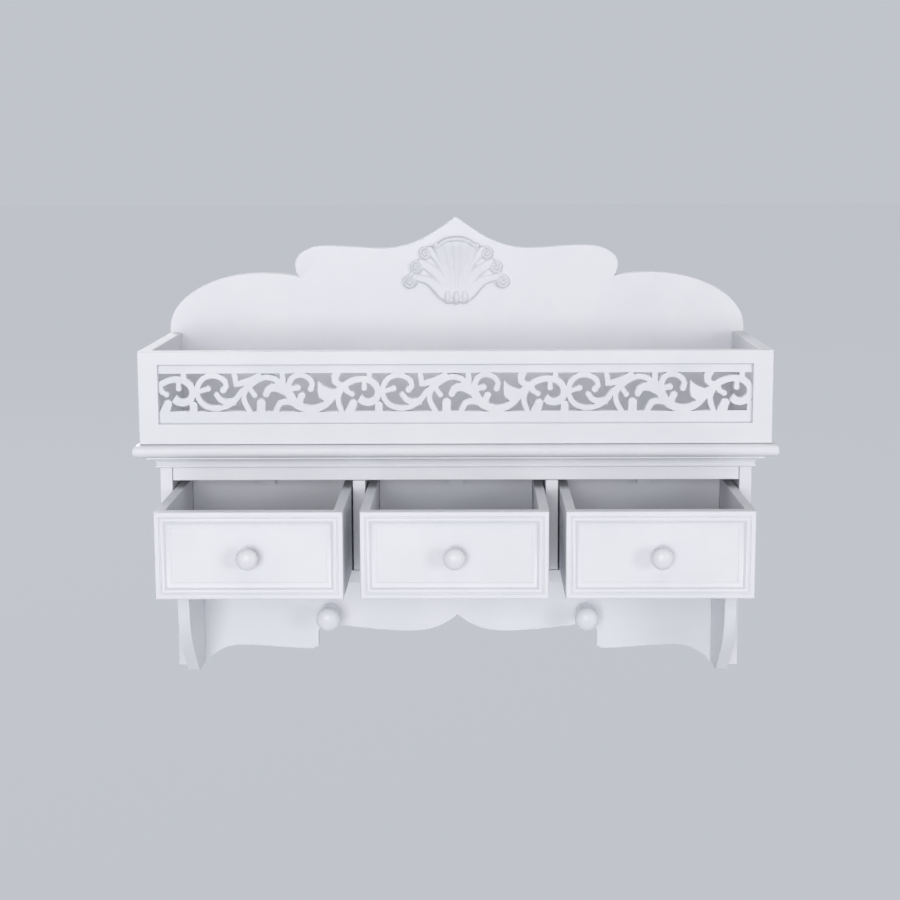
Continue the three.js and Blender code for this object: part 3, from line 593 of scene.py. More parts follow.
def board(name: str, mesh: bpy.types.Mesh, degrees: float = 38.0) -> bpy.types.Object:
    """Places a board or a moulding, whose flat faces stay flat where they meet a rounded arris.

    Args:
        name: The new piece's name.
        mesh: Its mesh.
        degrees: Angle from which an edge is sharp.

    Returns:
        The new piece.
    """
    piece = linked(name, smoothed(mesh, degrees))
    piece.modifiers.new("weighted", "WEIGHTED_NORMAL").keep_sharp = True
    return piece


def turned(name: str, profile: Profile, at: Point, around: int = 48, toward: int = -1) -> bpy.types.Object:
    """Turns a profile round the Y axis.

    Args:
        name: The piece's name.
        profile: Radius and distance out, in millimetres, from the foot to the tip.
        at: Where the foot's centre lies, in metres.
        around: Facets round the piece.
        toward: +1 for a piece that stands out towards +Y, -1 for one towards -Y.

    Returns:
        The piece, unfinished.
    """
    rings = []
    for radius, out in profile:
        reach = max(radius, TIP_MM) * MM
        rings.append([
            (at[0] + reach * math.cos(turn), at[1] + toward * out * MM, at[2] + reach * math.sin(turn))
            for turn in (2 * math.pi * i / around for i in range(around))
        ])
    return linked(name, smoothed(from_rings(name, rings), degrees=50))


def run_through(values: Sequence[float] | Sequence[Sequence[float]], steps: int = 8) -> np.ndarray:
    """Draws a smooth run through values or points that lie at even steps.

    Args:
        values: Numbers, or points of equal length.
        steps: Steps from one value to the next.

    Returns:
        The run, which starts at the first value and ends at the last.
    """
    knots = np.array([values[0], *values, values[-1]], float)
    run = []
    for before, start, end, after in zip(knots, knots[1:], knots[2:], knots[3:]):
        for t in np.arange(steps) / steps:
            run.append((2 * start + (end - before) * t + (2 * before - 5 * start + 4 * end - after) * t**2
                        + (3 * start - before - 3 * end + after) * t**3) / 2)
    return np.array([*run, knots[-1]])


def through(points: Profile, steps: int = 6) -> Profile:
    """Draws a smooth line through a profile's points."""
    return [(float(radius), float(out)) for radius, out in run_through(points, steps)]


def arc(
    centre: tuple[float, float], radii: tuple[float, float], start: float, end: float, steps: int = 10
) -> Profile:
    """Draws part of an ellipse.

    Args:
        centre: Its centre.
        radii: Its two radii.
        start: Where it starts, in degrees.
        end: Where it ends, in degrees.
        steps: Steps from its start to its end.

    Returns:
        Points along it.
    """
    angles = np.radians(np.linspace(start, end, steps + 1))
    return [
        (float(centre[0] + radii[0] * math.cos(a)), float(centre[1] + radii[1] * math.sin(a)))
        for a in angles
    ]


# ------------------------------------------------------------------ screws


@dataclass(frozen=True)
class CrossScrew:
    """Zinc-plated screw head with a cross recess, lying on or in a face."""

    head_mm: float
    rise_mm: float
    recess_mm: float
    recess_deep_mm: float
    seat_mm: float = 0.2  # how far the head reaches below the face
    arm_share: float = 0.14  # half width of an arm, as a share of the recess
    floor_share: float = 0.55  # size of the recess at its floor, as a share of its size at the top

    def build(self, name: str, at: Point, toward: int, body: str) -> None:
        """Makes the head.

        Args:
            name: The piece's name.
            at: Centre of the face it lies on, in metres.
            toward: +1 for a head that faces +Y, -1 for one that faces -Y.
            body: The body that it rides on.
        """
        radius = self.head_mm / 2
        dome = arc((0, 0), (radius, self.rise_mm), 0, 88, steps=6)
        head = turned(name, [(radius, -self.seat_mm), *dome], at, around=32, toward=toward)
        self._cut_recess(head, at, toward)
        finish_piece(head, ZINC, body)

    def _cut_recess(self, head: bpy.types.Object, at: Point, toward: int) -> None:
        """Sinks the cross into the head.

        Args:
            head: The head.
            at: Centre of the face it lies on, in metres.
            toward: +1 for a head that faces +Y, -1 for one that faces -Y.
        """
        arm, width = self.recess_mm / 2, self.recess_mm * self.arm_share
        top = self.rise_mm + 1  # well over the head
        floor = self.rise_mm - self.recess_deep_mm
        shape = bmesh.new()
        for half_x, half_z in ((arm, width), (width, arm)):
            for vert in bmesh.ops.create_cube(shape, size=1)["verts"]:
                height, taper = (top, 1.0) if vert.co.y * toward > 0 else (floor, self.floor_share)
                vert.co = Vector((
                    at[0] + vert.co.x * 2 * half_x * taper * MM,
                    at[1] + toward * height * MM,
                    at[2] + vert.co.z * 2 * half_z * taper * MM,
                ))
        subtract(head, linked("recess", baked("recess", shape)))


def subtract(piece: bpy.types.Object, cutter: bpy.types.Object) -> None:
    """Cuts one object out of another at once.

    Args:
        piece: What is cut.
        cutter: What is cut out, which is then removed.
    """
    cut = piece.modifiers.new("cut", "BOOLEAN")
    cut.operation, cut.object, cut.solver, cut.use_self = "DIFFERENCE", cutter, "EXACT", True
    graph = bpy.context.evaluated_depsgraph_get()
    mesh = bpy.data.meshes.new_from_object(piece.evaluated_get(graph))
    piece.modifiers.clear()
    old, piece.data = piece.data, mesh
    bpy.data.meshes.remove(old)
    bpy.data.objects.remove(cutter)


# ------------------------------------------------------------------ back


@dataclass
class BackPanel:
    """Backboard with its shaped crest and skirt, pressed hanger plates and the screws that hold them."""

    easing_mm: float = 1.0
    tip_mm: float = 3.5
    hanger_apart_mm: float = 400.0
    hanger_easing_mm: float = 0.25
    hanger_screws_mm: tuple[float, ...] = (5.6, -26.0)
    hanger_face_mm: float = -0.2
    hanger_sink_mm: tuple[float, float] = (3.0, 0.7)  # radius and depth of the bed of a screw's head
    shelf_screw_z_mm: float = -125.0
    bottom_screw_z_mm: float = -249.0
    screw_x_mm: tuple[float, ...] = (-250.0, -92.0, 92.0, 250.0)
    small_head: CrossScrew = CrossScrew(5.0, 0.45, 2.6, 0.6)
    board_head: CrossScrew = CrossScrew(7.6, 0.15, 3.6, 1.1)
    sink_mm: tuple[float, float] = (4.3, 0.5)  # the same for a board screw
    sink_taper: float = 0.12  # share by which a bed narrows from the face to its floor

    def build(self) -> None:
        """Builds the board, plates and screws."""
        panel = eased_outline("backboard_painted", "backboard", Y_AXIS, self.easing_mm, tip_mm=self.tip_mm)
        places = [(x, z) for z in (self.shelf_screw_z_mm, self.bottom_screw_z_mm) for x in self.screw_x_mm]
        self._sink(panel, places, self.sink_mm, 0.0)
        for number, (x, z) in enumerate(places, 1):
            at = (x * MM, -self.sink_mm[1] * MM, z * MM)
            self.board_head.build(f"board_screw_{number}", at, 1, CARCASE)
        finish_piece(panel, LONG_BOARD, CARCASE, ["backboard"])
        for side, sign in (("left", -1), ("right", 1)):
            self._hanger(side, sign * self.hanger_apart_mm / 2)

    def _hanger(self, side: str, x: float) -> None:
        """Presses one hanger plate and drives its two screws.

        Args:
            side: The plate's side, as its node names it.
            x: Middle of the plate across the shelf, in millimetres.
        """
        node = f"hanger_plate_{side}"
        plate = eased_outline(f"{node}_pressed", node, Y_AXIS, self.hanger_easing_mm, segments=2)
        places = [(x, z) for z in self.hanger_screws_mm]
        self._sink(plate, places, self.hanger_sink_mm, self.hanger_face_mm)
        finish_piece(plate, ZINC, CARCASE, [node])
        for row, z in enumerate(self.hanger_screws_mm, 1):
            at = (x * MM, (self.hanger_face_mm - self.hanger_sink_mm[1]) * MM, z * MM)
            self.small_head.build(f"hanger_screw_{side}_{row}", at, 1, CARCASE)

    def _sink(
        self,
        piece: bpy.types.Object,
        places: Sequence[tuple[float, float]],
        sink: tuple[float, float],
        face_mm: float,
    ) -> None:
        """Cuts a shallow tapered bed for each screw's head.

        Args:
            piece: What the screws go through.
            places: X and Z of each screw, in millimetres.
            sink: Radius and depth of each bed, in millimetres.
            face_mm: Where the face lies that the screws are driven from.
        """
        radius, deep = sink
        shape = bmesh.new()
        for x, z in places:
            place = Matrix.Translation((x * MM, face_mm * MM, z * MM)) @ Matrix.Rotation(math.pi / 2, 4, "X")
            bmesh.ops.create_cone(
                shape, cap_ends=True, segments=32, radius1=(1 + self.sink_taper) * radius * MM,
                radius2=(1 - self.sink_taper) * radius * MM, depth=2 * deep * MM, matrix=place)
        subtract(piece, linked("beds", baked("beds", shape)))


# ------------------------------------------------------------------ gallery


@dataclass
class Gallery:
    """Open tray behind a pierced front: one painted frame, two sides and the fretwork."""

    half_mm: float = 300.0
    front_mm: float = -212.0
    back_mm: float = -200.0
    rim_mm: float = -30.0
    foot_mm: float = -118.7
    top_rail_mm: float = 13.0
    bottom_rail_mm: float = 19.7
    stile_mm: float = 19.0
    rebate_front_mm: float = -209.3
    housed_mm: float = 5.3
    easing_mm: float = 0.9
    side_easing_mm: float = 0.7
    fret_easing_mm: float = 0.9
    fret_swell_mm: float = 0.7

    def build(self) -> None:
        """Builds the frame, its sides and the pierced panel."""
        self._frame()
        for side in ("left", "right"):
            node = f"gallery_side_{side}"
            piece = eased_copy(f"{node}_painted", node, self.side_easing_mm)
            finish_piece(piece, DEEP_BOARD, CARCASE, [node])
        self._fretwork()

    def _frame(self) -> None:
        """Builds the four members as one frame, as their joints are filled and painted over."""

        def ring(inset: float, window: float, y: float) -> list[Point]:
            """Works out a ring round the window.

            Args:
                inset: How far it lies in from the outside, in millimetres.
                window: Share of each member's width that is added to the inset.
                y: Where it lies across the frame's thickness, in millimetres.

            Returns:
                Its corners, in metres.
            """
            left = -self.half_mm + inset + window * self.stile_mm
            low = self.foot_mm + inset + window * self.bottom_rail_mm
            high = self.rim_mm - inset - window * self.top_rail_mm
            corners = [(left, low), (-left, low), (-left, high), (left, high)]
            return [(x * MM, y * MM, z * MM) for x, z in corners]

        ease = self.easing_mm
        turns = [(1 - math.cos(a), 1 - math.sin(a)) for a in np.radians(np.linspace(0, 90, 5))]
        outer = [ring(ease * u, 0, self.front_mm + ease * v) for u, v in turns]
        inner = [ring(-ease * u, 1, self.front_mm + ease * v) for u, v in reversed(turns)]
        rebate = [
            ring(0, 1, self.rebate_front_mm),
            ring(-self.housed_mm, 1, self.rebate_front_mm),
            ring(-self.housed_mm, 1, self.back_mm),
        ]
        rings = [ring(0, 0, self.back_mm), *outer, *inner, *rebate]
        piece = board("gallery_frame", from_rings("gallery_frame", rings, closed=True))
        finish_piece(piece, LONG_BOARD, CARCASE, [
            "gallery_top_rail", "gallery_bottom_rail", "gallery_stile_left", "gallery_stile_right"])

    def _fretwork(self) -> None:
        """Rounds the arrises of the scrolls, as paint and rubbing down leave them."""
        panel = eased_outline(
            "fretwork_carved", "fretwork_panel", Y_AXIS, self.fret_easing_mm, swell_mm=self.fret_swell_mm)
        finish_piece(panel, CARVING, CARCASE, ["fretwork_panel"])


# ------------------------------------------------------------------ shelf and mouldings


@dataclass
class Cornice:
    """Shelf board with rounded edges and the bed moulding that is mitred round the carcase below it."""

    shelf_half_mm: float = 306.0
    shelf_front_mm: float = -218.0
    shelf_bottom_mm: float = -131.0
    shelf_thick_mm: float = 12.0
    nose_mm: float = 5.0
    back_mm: float = -12.3
    half_mm: float = 283.3
    front_mm: float = -202.3
    moulding_top_mm: float = -131.3
    out_mm: float = 10.0
    drop_mm: float = 11.0
    fillet_mm: float = 1.5
    lip_mm: float = 1.0  # how far the fillet stands out over the cove
    bead_mm: float = 1.4

    def build(self) -> None:
        """Builds the board and the moulding."""
        self._board()
        self._moulding()

    def _board(self) -> None:
        """Builds the board from its lower face up."""
        nose, thick = self.nose_mm, self.shelf_thick_mm
        lower = arc((0, nose), (nose, nose), 270, 360, steps=8)
        upper = arc((0, thick - nose), (nose, nose), 0, 90, steps=8)
        rings = []
        for out, z in [*lower, *upper]:
            x, y = self.shelf_half_mm - nose + out, self.shelf_front_mm + nose - out
            corners = [(-x, y), (x, y), (x, self.back_mm), (-x, self.back_mm)]
            rings.append([(u * MM, v * MM, (self.shelf_bottom_mm + z) * MM) for u, v in corners])
        piece = board("shelf_board_painted", from_rings("shelf_board", rings))
        finish_piece(piece, LONG_BOARD, CARCASE, ["shelf_board"])

    def _moulding(self) -> None:
        """Runs the section round the front and both ends, mitred at the corners."""
        fillet, bead = self.fillet_mm, self.bead_mm
        cove_drop = self.drop_mm - fillet - 2 * bead
        cove_out = self.out_mm - fillet - bead
        section = [
            (0.0, 0.0), (self.out_mm, 0.0), (self.out_mm, -fillet),
            *arc((self.out_mm - self.lip_mm, -fillet - cove_drop), (cove_out, cove_drop), 90, 180),
            *arc((fillet, -self.drop_mm + bead), (bead, bead), 60, -90, steps=8),
            (0.0, -self.drop_mm),
        ]

        def station(x: float, y: float, lean_x: float, lean_y: float) -> list[Point]:
            """Sets the section up at a point of its path.

            Args:
                x: Where the point lies, in millimetres.
                y: Where the point lies, in millimetres.
                lean_x: How much of the section's reach points along X.
                lean_y: How much of the section's reach points along Y.

            Returns:
                The section's points, in metres.
            """
            return [
                ((x + lean_x * out) * MM, (y + lean_y * out) * MM, (self.moulding_top_mm + z) * MM)
                for out, z in section
            ]

        rings = [
            station(-self.half_mm, self.back_mm, -1, 0),
            station(-self.half_mm, self.front_mm, -1, -1),
            station(self.half_mm, self.front_mm, 1, -1),
            station(self.half_mm, self.back_mm, 1, 0),
        ]
        piece = board("bed_moulding_painted", from_rings("bed_moulding", rings))
        finish_piece(piece, LONG_BOARD, CARCASE, [
            "bed_moulding_front", "bed_moulding_left", "bed_moulding_right"])


# ------------------------------------------------------------------ carcase


@dataclass
class DrawerCase:
    """Sides with ogee brackets, face rail, bottom board, dividers and stop cleats."""

    easing_mm: float = 0.8
    boards: tuple[tuple[str, Finish], ...] = (
        ("face_rail", LONG_BOARD),
        ("bottom_board", LONG_BOARD),
        ("divider_1", TALL_BOARD),
        ("divider_2", TALL_BOARD),
    )

    def build(self) -> None:
        """Eases every board and paints the cleats."""
        for side in ("left", "right"):
            node = f"carcase_side_{side}"
            piece = eased_outline(f"{node}_painted", node, X_AXIS, self.easing_mm)
            finish_piece(piece, TALL_BOARD, CARCASE, [node])
        for node, finish in self.boards:
            finish_piece(eased_copy(f"{node}_painted", node, self.easing_mm), finish, CARCASE, [node])
        for number in range(1, DRAWERS + 1):
            dress_solid(f"drawer_stop_{number}", DRAWER_CROSS_WOOD)


# ------------------------------------------------------------------ drawers


@dataclass
class Knob:
    """Turned beech knob: foot, waist and a domed head."""

    out_mm: float = 23.0
    head_mm: float = 20.0
    crown_share: float = 0.62

    def profile(self) -> Profile:
        """Draws the outline.

        Returns:
            Radius and distance out, from the foot to the tip.
        """
        head = self.head_mm / 2
        crown = head * self.crown_share
        edge = self.out_mm - crown
        neck = through([(6.5, 1.8), (4.9, 4.0), (4.5, 7.0), (5.2, edge - 4.6), (head - 1.4, edge - 2)])
        shoulder = through([(head - 1.4, edge - 2), (head - 0.35, edge - 1.1), (head, edge)], steps=4)[1:]
        return [(6.2, 0.0), (6.5, 0.3), (6.5, 1.6), *neck, *shoulder[:-1],
                *arc((0, edge), (head, crown), 0, 89, steps=14)]

    def build(self, name: str, at: Point, body: str, node: str) -> None:
        """Turns the knob and sets it on its front."""
        finish_piece(turned(name, self.profile(), at), TURNED_BEECH, body, [node])


@dataclass
class Drawer:
    """One drawer, drawn out against its stop, with a moulded front and a grooved box."""

    number: int
    inner_half_mm: float = 271.0  # half the carcase's width between its sides
    divider_mm: float = 12.0
    side_gap_mm: float = 1.5
    height_mm: float = 80.0
    face_mm: float = -326.0
    foot_mm: float = -242.7
    front_thick_mm: float = 12.0
    frame_mm: float = 15.0
    sunk_mm: float = 3.0
    rear_chamfer_mm: float = 0.5
    knob_gap_mm: float = 0.3  # the solids' gap between the knob and its front
    easing_mm: float = 0.6
    knob: Knob = field(default_factory=Knob)
    knob_screw: CrossScrew = CrossScrew(7.5, 2.0, 4.0, 1.3)

    @property
    def body(self) -> str:
        """Body that the drawer's pieces ride on."""
        return f"drawer_{self.number}"

    @property
    def compartment_mm(self) -> float:
        """Width of the drawer's compartment."""
        return (2 * self.inner_half_mm - (DRAWERS - 1) * self.divider_mm) / DRAWERS

    @property
    def centre_mm(self) -> float:
        """Middle of the drawer across the shelf."""
        return (self.number - (DRAWERS + 1) / 2) * (self.compartment_mm + self.divider_mm)

    def build(self) -> None:
        """Builds the front, the box and the knob."""
        self._front()
        for part, finish in (
            ("side_left", DRAWER_WOOD), ("side_right", DRAWER_WOOD), ("back", DRAWER_CROSS_WOOD)):
            node = f"{self.body}_{part}"
            piece = eased_copy(f"{node}_painted", node, self.easing_mm)
            finish_piece(piece, finish, self.body, [node])
        dress_solid(f"{self.body}_bottom", DRAWER_CROSS_WOOD)
        at = (
            self.centre_mm * MM,
            (self.face_mm + self.sunk_mm - self.knob_gap_mm) * MM,
            (self.foot_mm + self.height_mm / 2) * MM,
        )
        self.knob.build(f"{self.body}_knob_turned", at, self.body, f"{self.body}_knob")
        behind = (at[0], (self.face_mm + self.front_thick_mm) * MM, at[2])
        self.knob_screw.build(f"{self.body}_knob_screw", behind, 1, self.body)

    def _section(self) -> Profile:
        """Draws the section of the moulded frame.

        Returns:
            Inset from the front's edge and depth below its highest part, from the edge inwards.
        """
        frame_end = self.frame_mm
        edge = arc((1.6, 2.0), (1.6, 1.6), 180, 270, steps=8)
        quirk = [(4.2, 0.4), (4.5, 0.8), (4.9, 1.3)]
        bead = arc((7.4, 1.3), (2.0, 1.3), 180, 360, steps=14)
        cove = arc((frame_end - 1, 0.8), (4.0, self.sunk_mm - 1.3), 180, 90)
        lip = [(frame_end, self.sunk_mm - 0.5), (frame_end + 0.2, self.sunk_mm)]
        return [*edge, *quirk, *bead, *cove, *lip]

    def _front(self) -> None:
        """Runs the moulded section round the front, mitred at the corners."""
        half, height = self.compartment_mm / 2 - self.side_gap_mm, self.height_mm

        def ring(inset: float, y: float) -> list[Point]:
            """Works out a ring round the front.

            Args:
                inset: How far it lies in from the front's edge, in millimetres.
                y: Where it lies across the front's thickness, in millimetres.

            Returns:
                Its corners, in metres.
            """
            corners = [(-half + inset, inset), (half - inset, inset),
                       (half - inset, height - inset), (-half + inset, height - inset)]
            return [((self.centre_mm + x) * MM, y * MM, (self.foot_mm + z) * MM) for x, z in corners]

        back, chamfer = self.face_mm + self.front_thick_mm, self.rear_chamfer_mm
        rings = [ring(chamfer, back), ring(0, back - chamfer)]
        rings += [ring(inset, self.face_mm + sunk) for inset, sunk in self._section()]
        name = f"{self.body}_front_moulded"
        piece = board(name, from_rings(name, rings), degrees=42)
        finish_piece(piece, LONG_BOARD, self.body, [f"{self.body}_front"])


# ------------------------------------------------------------------ coat pegs


@dataclass
class CoatPeg:
    """Turned beech peg: flared base, waisted stem and a domed head."""

    out_mm: float = 44.0
    head_mm: float = 25.0
    base_mm: float = 18.0
    crown_share: float = 0.6
    face_mm: float = -12.3
    axis_z_mm: float = -330.0
    apart_mm: float = 272.0

    def profile(self) -> Profile:
        """Draws the outline.

        Returns:
            Radius and distance out, from the foot to the tip.
        """
        head = self.head_mm / 2
        crown = head * self.crown_share
        edge = self.out_mm - crown
        stem = through([
            (self.base_mm / 2, 2.5), (7.3, 5.5), (6.5, 12.0), (6.9, 21.0), (7.4, 26.5), (9.5, 30.9),
            (head - 0.8, 33.3), (head, edge)])
        base = [(self.base_mm / 2 - 0.3, 0.0), (self.base_mm / 2, 0.3)]
        return [*base, *stem[:-1], *arc((0, edge), (head, crown), 0, 89, steps=14)]

    def build(self) -> None:
        """Turns both pegs."""
        for side, sign in (("left", -1), ("right", 1)):
            at = (sign * self.apart_mm / 2 * MM, self.face_mm * MM, self.axis_z_mm * MM)
            node = f"coat_peg_{side}"
            piece = turned(f"{node}_turned", self.profile(), at, around=56)
            finish_piece(piece, TURNED_BEECH, CARCASE, [node])


# ------------------------------------------------------------------ shell carving


@dataclass(frozen=True)
class Leaf:
    """One leaf of the shell, on the right: its middle line from the foot, and the curl it ends in."""

    line_mm: tuple[tuple[float, float], ...]
    half_widths_mm: tuple[float, ...]
    depths_mm: tuple[float, ...]
    curl_mm: Point  # middle of the curl and its radius
    cup: float = 0.34  # share of its height by which the leaf's middle is hollowed


@dataclass
class ShellCarving:
    """Fluted shell with a rolled top edge between three curled leaves on each side.

    It is a relief: the height of each part is laid over a fine grid, and the parts are joined by
    their highest surface, which leaves a sharp groove between neighbours as a gouge does.
    """

    foot_z_mm: float = -2.0
    back_mm: float = -12.3
    grid_mm: float = 0.45
    half_width_mm: float = 57.6
    bottom_mm: float = -1.2
    top_mm: float = 73.5
    ground_mm: float = 2.4
    ground_share: float = 0.60  # share of carving round a gap from which the ground fills it
    ground_cells: int = 10  # reach of that test, in cells of the grid
    edge_mm: float = 0.3  # least height that counts as carving
    rim_passes: int = 6  # passes that smooth the stepped rim
    leaves: tuple[Leaf, ...] = (
        Leaf(((4.5, 8), (8, 22.5), (11.2, 35), (16, 45), (22.3, 52.2), (27.6, 57.8)),
             (3.0, 4.0, 5.4, 6.4, 5.8, 4.0), (6.4, 5.6, 5.0, 5.0, 5.2, 5.2), (31.6, 54.0, 7.4)),
        Leaf(((7, 8), (11.5, 19), (17, 28.3), (24, 36), (31.5, 41), (36.4, 45)),
             (3.2, 4.4, 5.8, 6.2, 5.4, 3.8), (6.2, 5.6, 5.2, 5.0, 5.0, 5.0), (41.0, 39.6, 7.5)),
        Leaf(((7, 7.5), (14.5, 12), (21, 19.3), (28.5, 25.5), (37, 27.8), (43.3, 29.8)),
             (6.5, 6.6, 6.4, 5.6, 4.6, 3.8), (6.6, 6.0, 5.4, 5.0, 4.8, 4.8), (48.1, 24.4, 7.9)),
    )
    limb_round: tuple[float, float] = (2.6, 0.55)  # exponents of a limb's round section
    cup_reach: float = 0.42  # reach of a leaf's hollow, as a share of its half width
    curl_turns: float = 1.25
    curl_points: int = 44
    curl_line_run: tuple[float, float] = (0.80, 0.18)  # its line's start and end, as shares of its radius
    curl_round: tuple[float, float] = (2.4, 0.5)
    curl_depth_mm: float = 6.3
    curl_line_mm: float = 1.15
    curl_groove_mm: float = 1.5
    curl_fade_mm: float = 3.0  # height up to which a curl's line fades out
    roll_mm: tuple[Point, ...] = (
        (-22.3, 57.0, 2.3), (-18.0, 62.3, 2.9), (-10.0, 67.2, 3.2), (0.0, 68.7, 3.3),
        (10.0, 67.2, 3.2), (18.0, 62.3, 2.9), (22.3, 57.0, 2.3))
    roll_depth_mm: float = 7.9
    roll_droop: float = 0.35  # share by which the roll is lower at its ends
    fan_apex_mm: float = -3.0
    fan_half_deg: float = 20.5
    flutes: int = 5
    flute_mm: float = 6.4
    scoop_mm: float = 2.2
    scoop_span: tuple[float, float] = (0.12, 0.92)  # where the scoop lies, as shares of the fan's reach
    fan_foot_mm: float = 5.0
    fan_reach_mm: float = 70.8
    groove_mm: float = 1.1
    groove_round: float = 0.75  # exponent of a groove's section
    groove_rise: tuple[float, float] = (2.2, 0.25)  # how fast the grooves deepen up the fan, and how late
    foot_lobes_mm: tuple[tuple[float, float, float, float, float], ...] = (
        (0.0, 8.2, 4.9, 8.6, 8.4), (8.9, 9.0, 5.2, 8.4, 7.6), (-8.9, 9.0, 5.2, 8.4, 7.6))

    def build(self) -> None:
        """Raises the relief and sets it on the backboard."""
        across, up = np.meshgrid(
            np.arange(-self.half_width_mm, self.half_width_mm + self.grid_mm / 2, self.grid_mm),
            np.arange(self.bottom_mm, self.top_mm, self.grid_mm))
        piece = linked("shell_carving_relief", self._mesh(across, up, self._relief(across, up)))
        piece.data.shade_smooth()
        finish_piece(piece, CARVING, CARCASE, ["shell_carving"])

    def _limb(
        self,
        across: np.ndarray,
        up: np.ndarray,
        line: np.ndarray,
        half_widths: np.ndarray,
        depths: np.ndarray,
        cup: float = 0.0,
    ) -> np.ndarray:
        """Works out the height of a limb along a line.

        Args:
            across: X of each grid point.
            up: Z of each grid point.
            line: Points of the limb's middle line.
            half_widths: Half width at each point.
            depths: Height at each point.
            cup: Share by which its middle is hollowed.

        Returns:
            Its height over the grid, and zero beside it.
        """
        best = np.zeros_like(across)
        inner, outer = self.limb_round
        ends = zip(line, line[1:], half_widths, half_widths[1:], depths, depths[1:])
        for (x0, z0), (x1, z1), w0, w1, d0, d1 in ends:
            dx, dz = x1 - x0, z1 - z0
            share = np.clip(((across - x0) * dx + (up - z0) * dz) / (dx * dx + dz * dz + 1e-9), 0, 1)
            gap = np.hypot(across - x0 - share * dx, up - z0 - share * dz) / (w0 + (w1 - w0) * share)
            hollow = 1 - cup * np.exp(-((gap / self.cup_reach) ** 2))
            rise = (d0 + (d1 - d0) * share) * np.clip(1 - gap ** inner, 0, 1) ** outer * hollow
            best = np.maximum(best, rise)
        return best

    def _leaf(self, across: np.ndarray, up: np.ndarray, leaf: Leaf) -> np.ndarray:
        """Works out the height of one leaf and of the curl at its end.

        Args:
            across: X of each grid point, turned round for a leaf on the left.
            up: Z of each grid point.
            leaf: The leaf.

        Returns:
            Its height over the grid, and zero beside it.
        """
        height = self._limb(
            across, up, run_through(leaf.line_mm), run_through(leaf.half_widths_mm),
            run_through(leaf.depths_mm), leaf.cup)
        x, z, radius = leaf.curl_mm
        turn = np.linspace(0, self.curl_turns * 2 * math.pi, self.curl_points)
        start = math.atan2(leaf.line_mm[-1][1] - z, leaf.line_mm[-1][0] - x)
        spin = radius * np.linspace(*self.curl_line_run, self.curl_points)
        spiral = np.stack([x + spin * np.cos(start - turn), z + spin * np.sin(start - turn)], 1)
        gap = np.hypot(across - x, up - z) / radius
        inner, outer = self.curl_round
        ball = self.curl_depth_mm * np.clip(1 - gap ** inner, 0, 1) ** outer
        line = self._limb(
            across, up, spiral, np.full_like(turn, self.curl_line_mm), np.ones_like(turn))
        groove = self.curl_groove_mm * line * np.clip(ball / self.curl_fade_mm, 0, 1)
        return np.maximum(height, ball - groove)

    def _fan(self, across: np.ndarray, up: np.ndarray) -> np.ndarray:
        """Works out the height of the flutes, which spread from the foot and run up under the roll.

        Args:
            across: X of each grid point.
            up: Z of each grid point.

        Returns:
            Their height over the grid, and zero beside them.
        """
        lean = np.degrees(np.arctan2(across, up - self.fan_apex_mm)) / self.fan_half_deg
        reach = np.hypot(across, up - self.fan_apex_mm)
        share = np.clip(reach / self.fan_reach_mm, 0, 1)
        wave = np.abs(np.sin(np.pi * (lean + 1) / 2 * self.flutes))
        low, high = self.scoop_span
        scoop = self.flute_mm - self.scoop_mm * np.sin(np.pi * np.clip((share - low) / (high - low), 0, 1))
        fast, late = self.groove_rise
        grooves = self.groove_mm * (1 - wave ** self.groove_round) * np.clip(share * fast - late, 0, 1)
        inside = (np.abs(lean) <= 1) & (reach <= self.fan_reach_mm) & (up > self.fan_foot_mm)
        return np.where(inside, scoop - grooves, 0)

    def _relief(self, across: np.ndarray, up: np.ndarray) -> np.ndarray:
        """Lays all parts together, over a low ground that joins them.

        Args:
            across: X of each grid point.
            up: Z of each grid point.

        Returns:
            Height of each grid point, zero outside the carving.
        """
        height = self._fan(across, up)
        for side in (-1, 1):
            for leaf in self.leaves:
                height = np.maximum(height, self._leaf(across * side, up, leaf))
        shifts = range(-self.ground_cells, self.ground_cells + 1, 2)
        carved = height > self.edge_mm
        near = np.mean([np.roll(carved, (row, column), (0, 1)) for row in shifts for column in shifts], 0)
        height = np.maximum(height, np.where(near > self.ground_share, self.ground_mm, 0))
        fine = run_through(self.roll_mm)
        depths = self.roll_depth_mm * (1 - self.roll_droop * np.linspace(-1, 1, len(fine)) ** 6)
        height = np.maximum(height, self._limb(across, up, fine[:, :2], fine[:, 2], depths))
        for x, z, half_width, half_height, rise in self.foot_lobes_mm:
            span = ((across - x) / half_width) ** 2 + ((up - z) / half_height) ** 2
            height = np.maximum(height, rise * np.sqrt(np.clip(1 - span, 0, 1)))
        return height

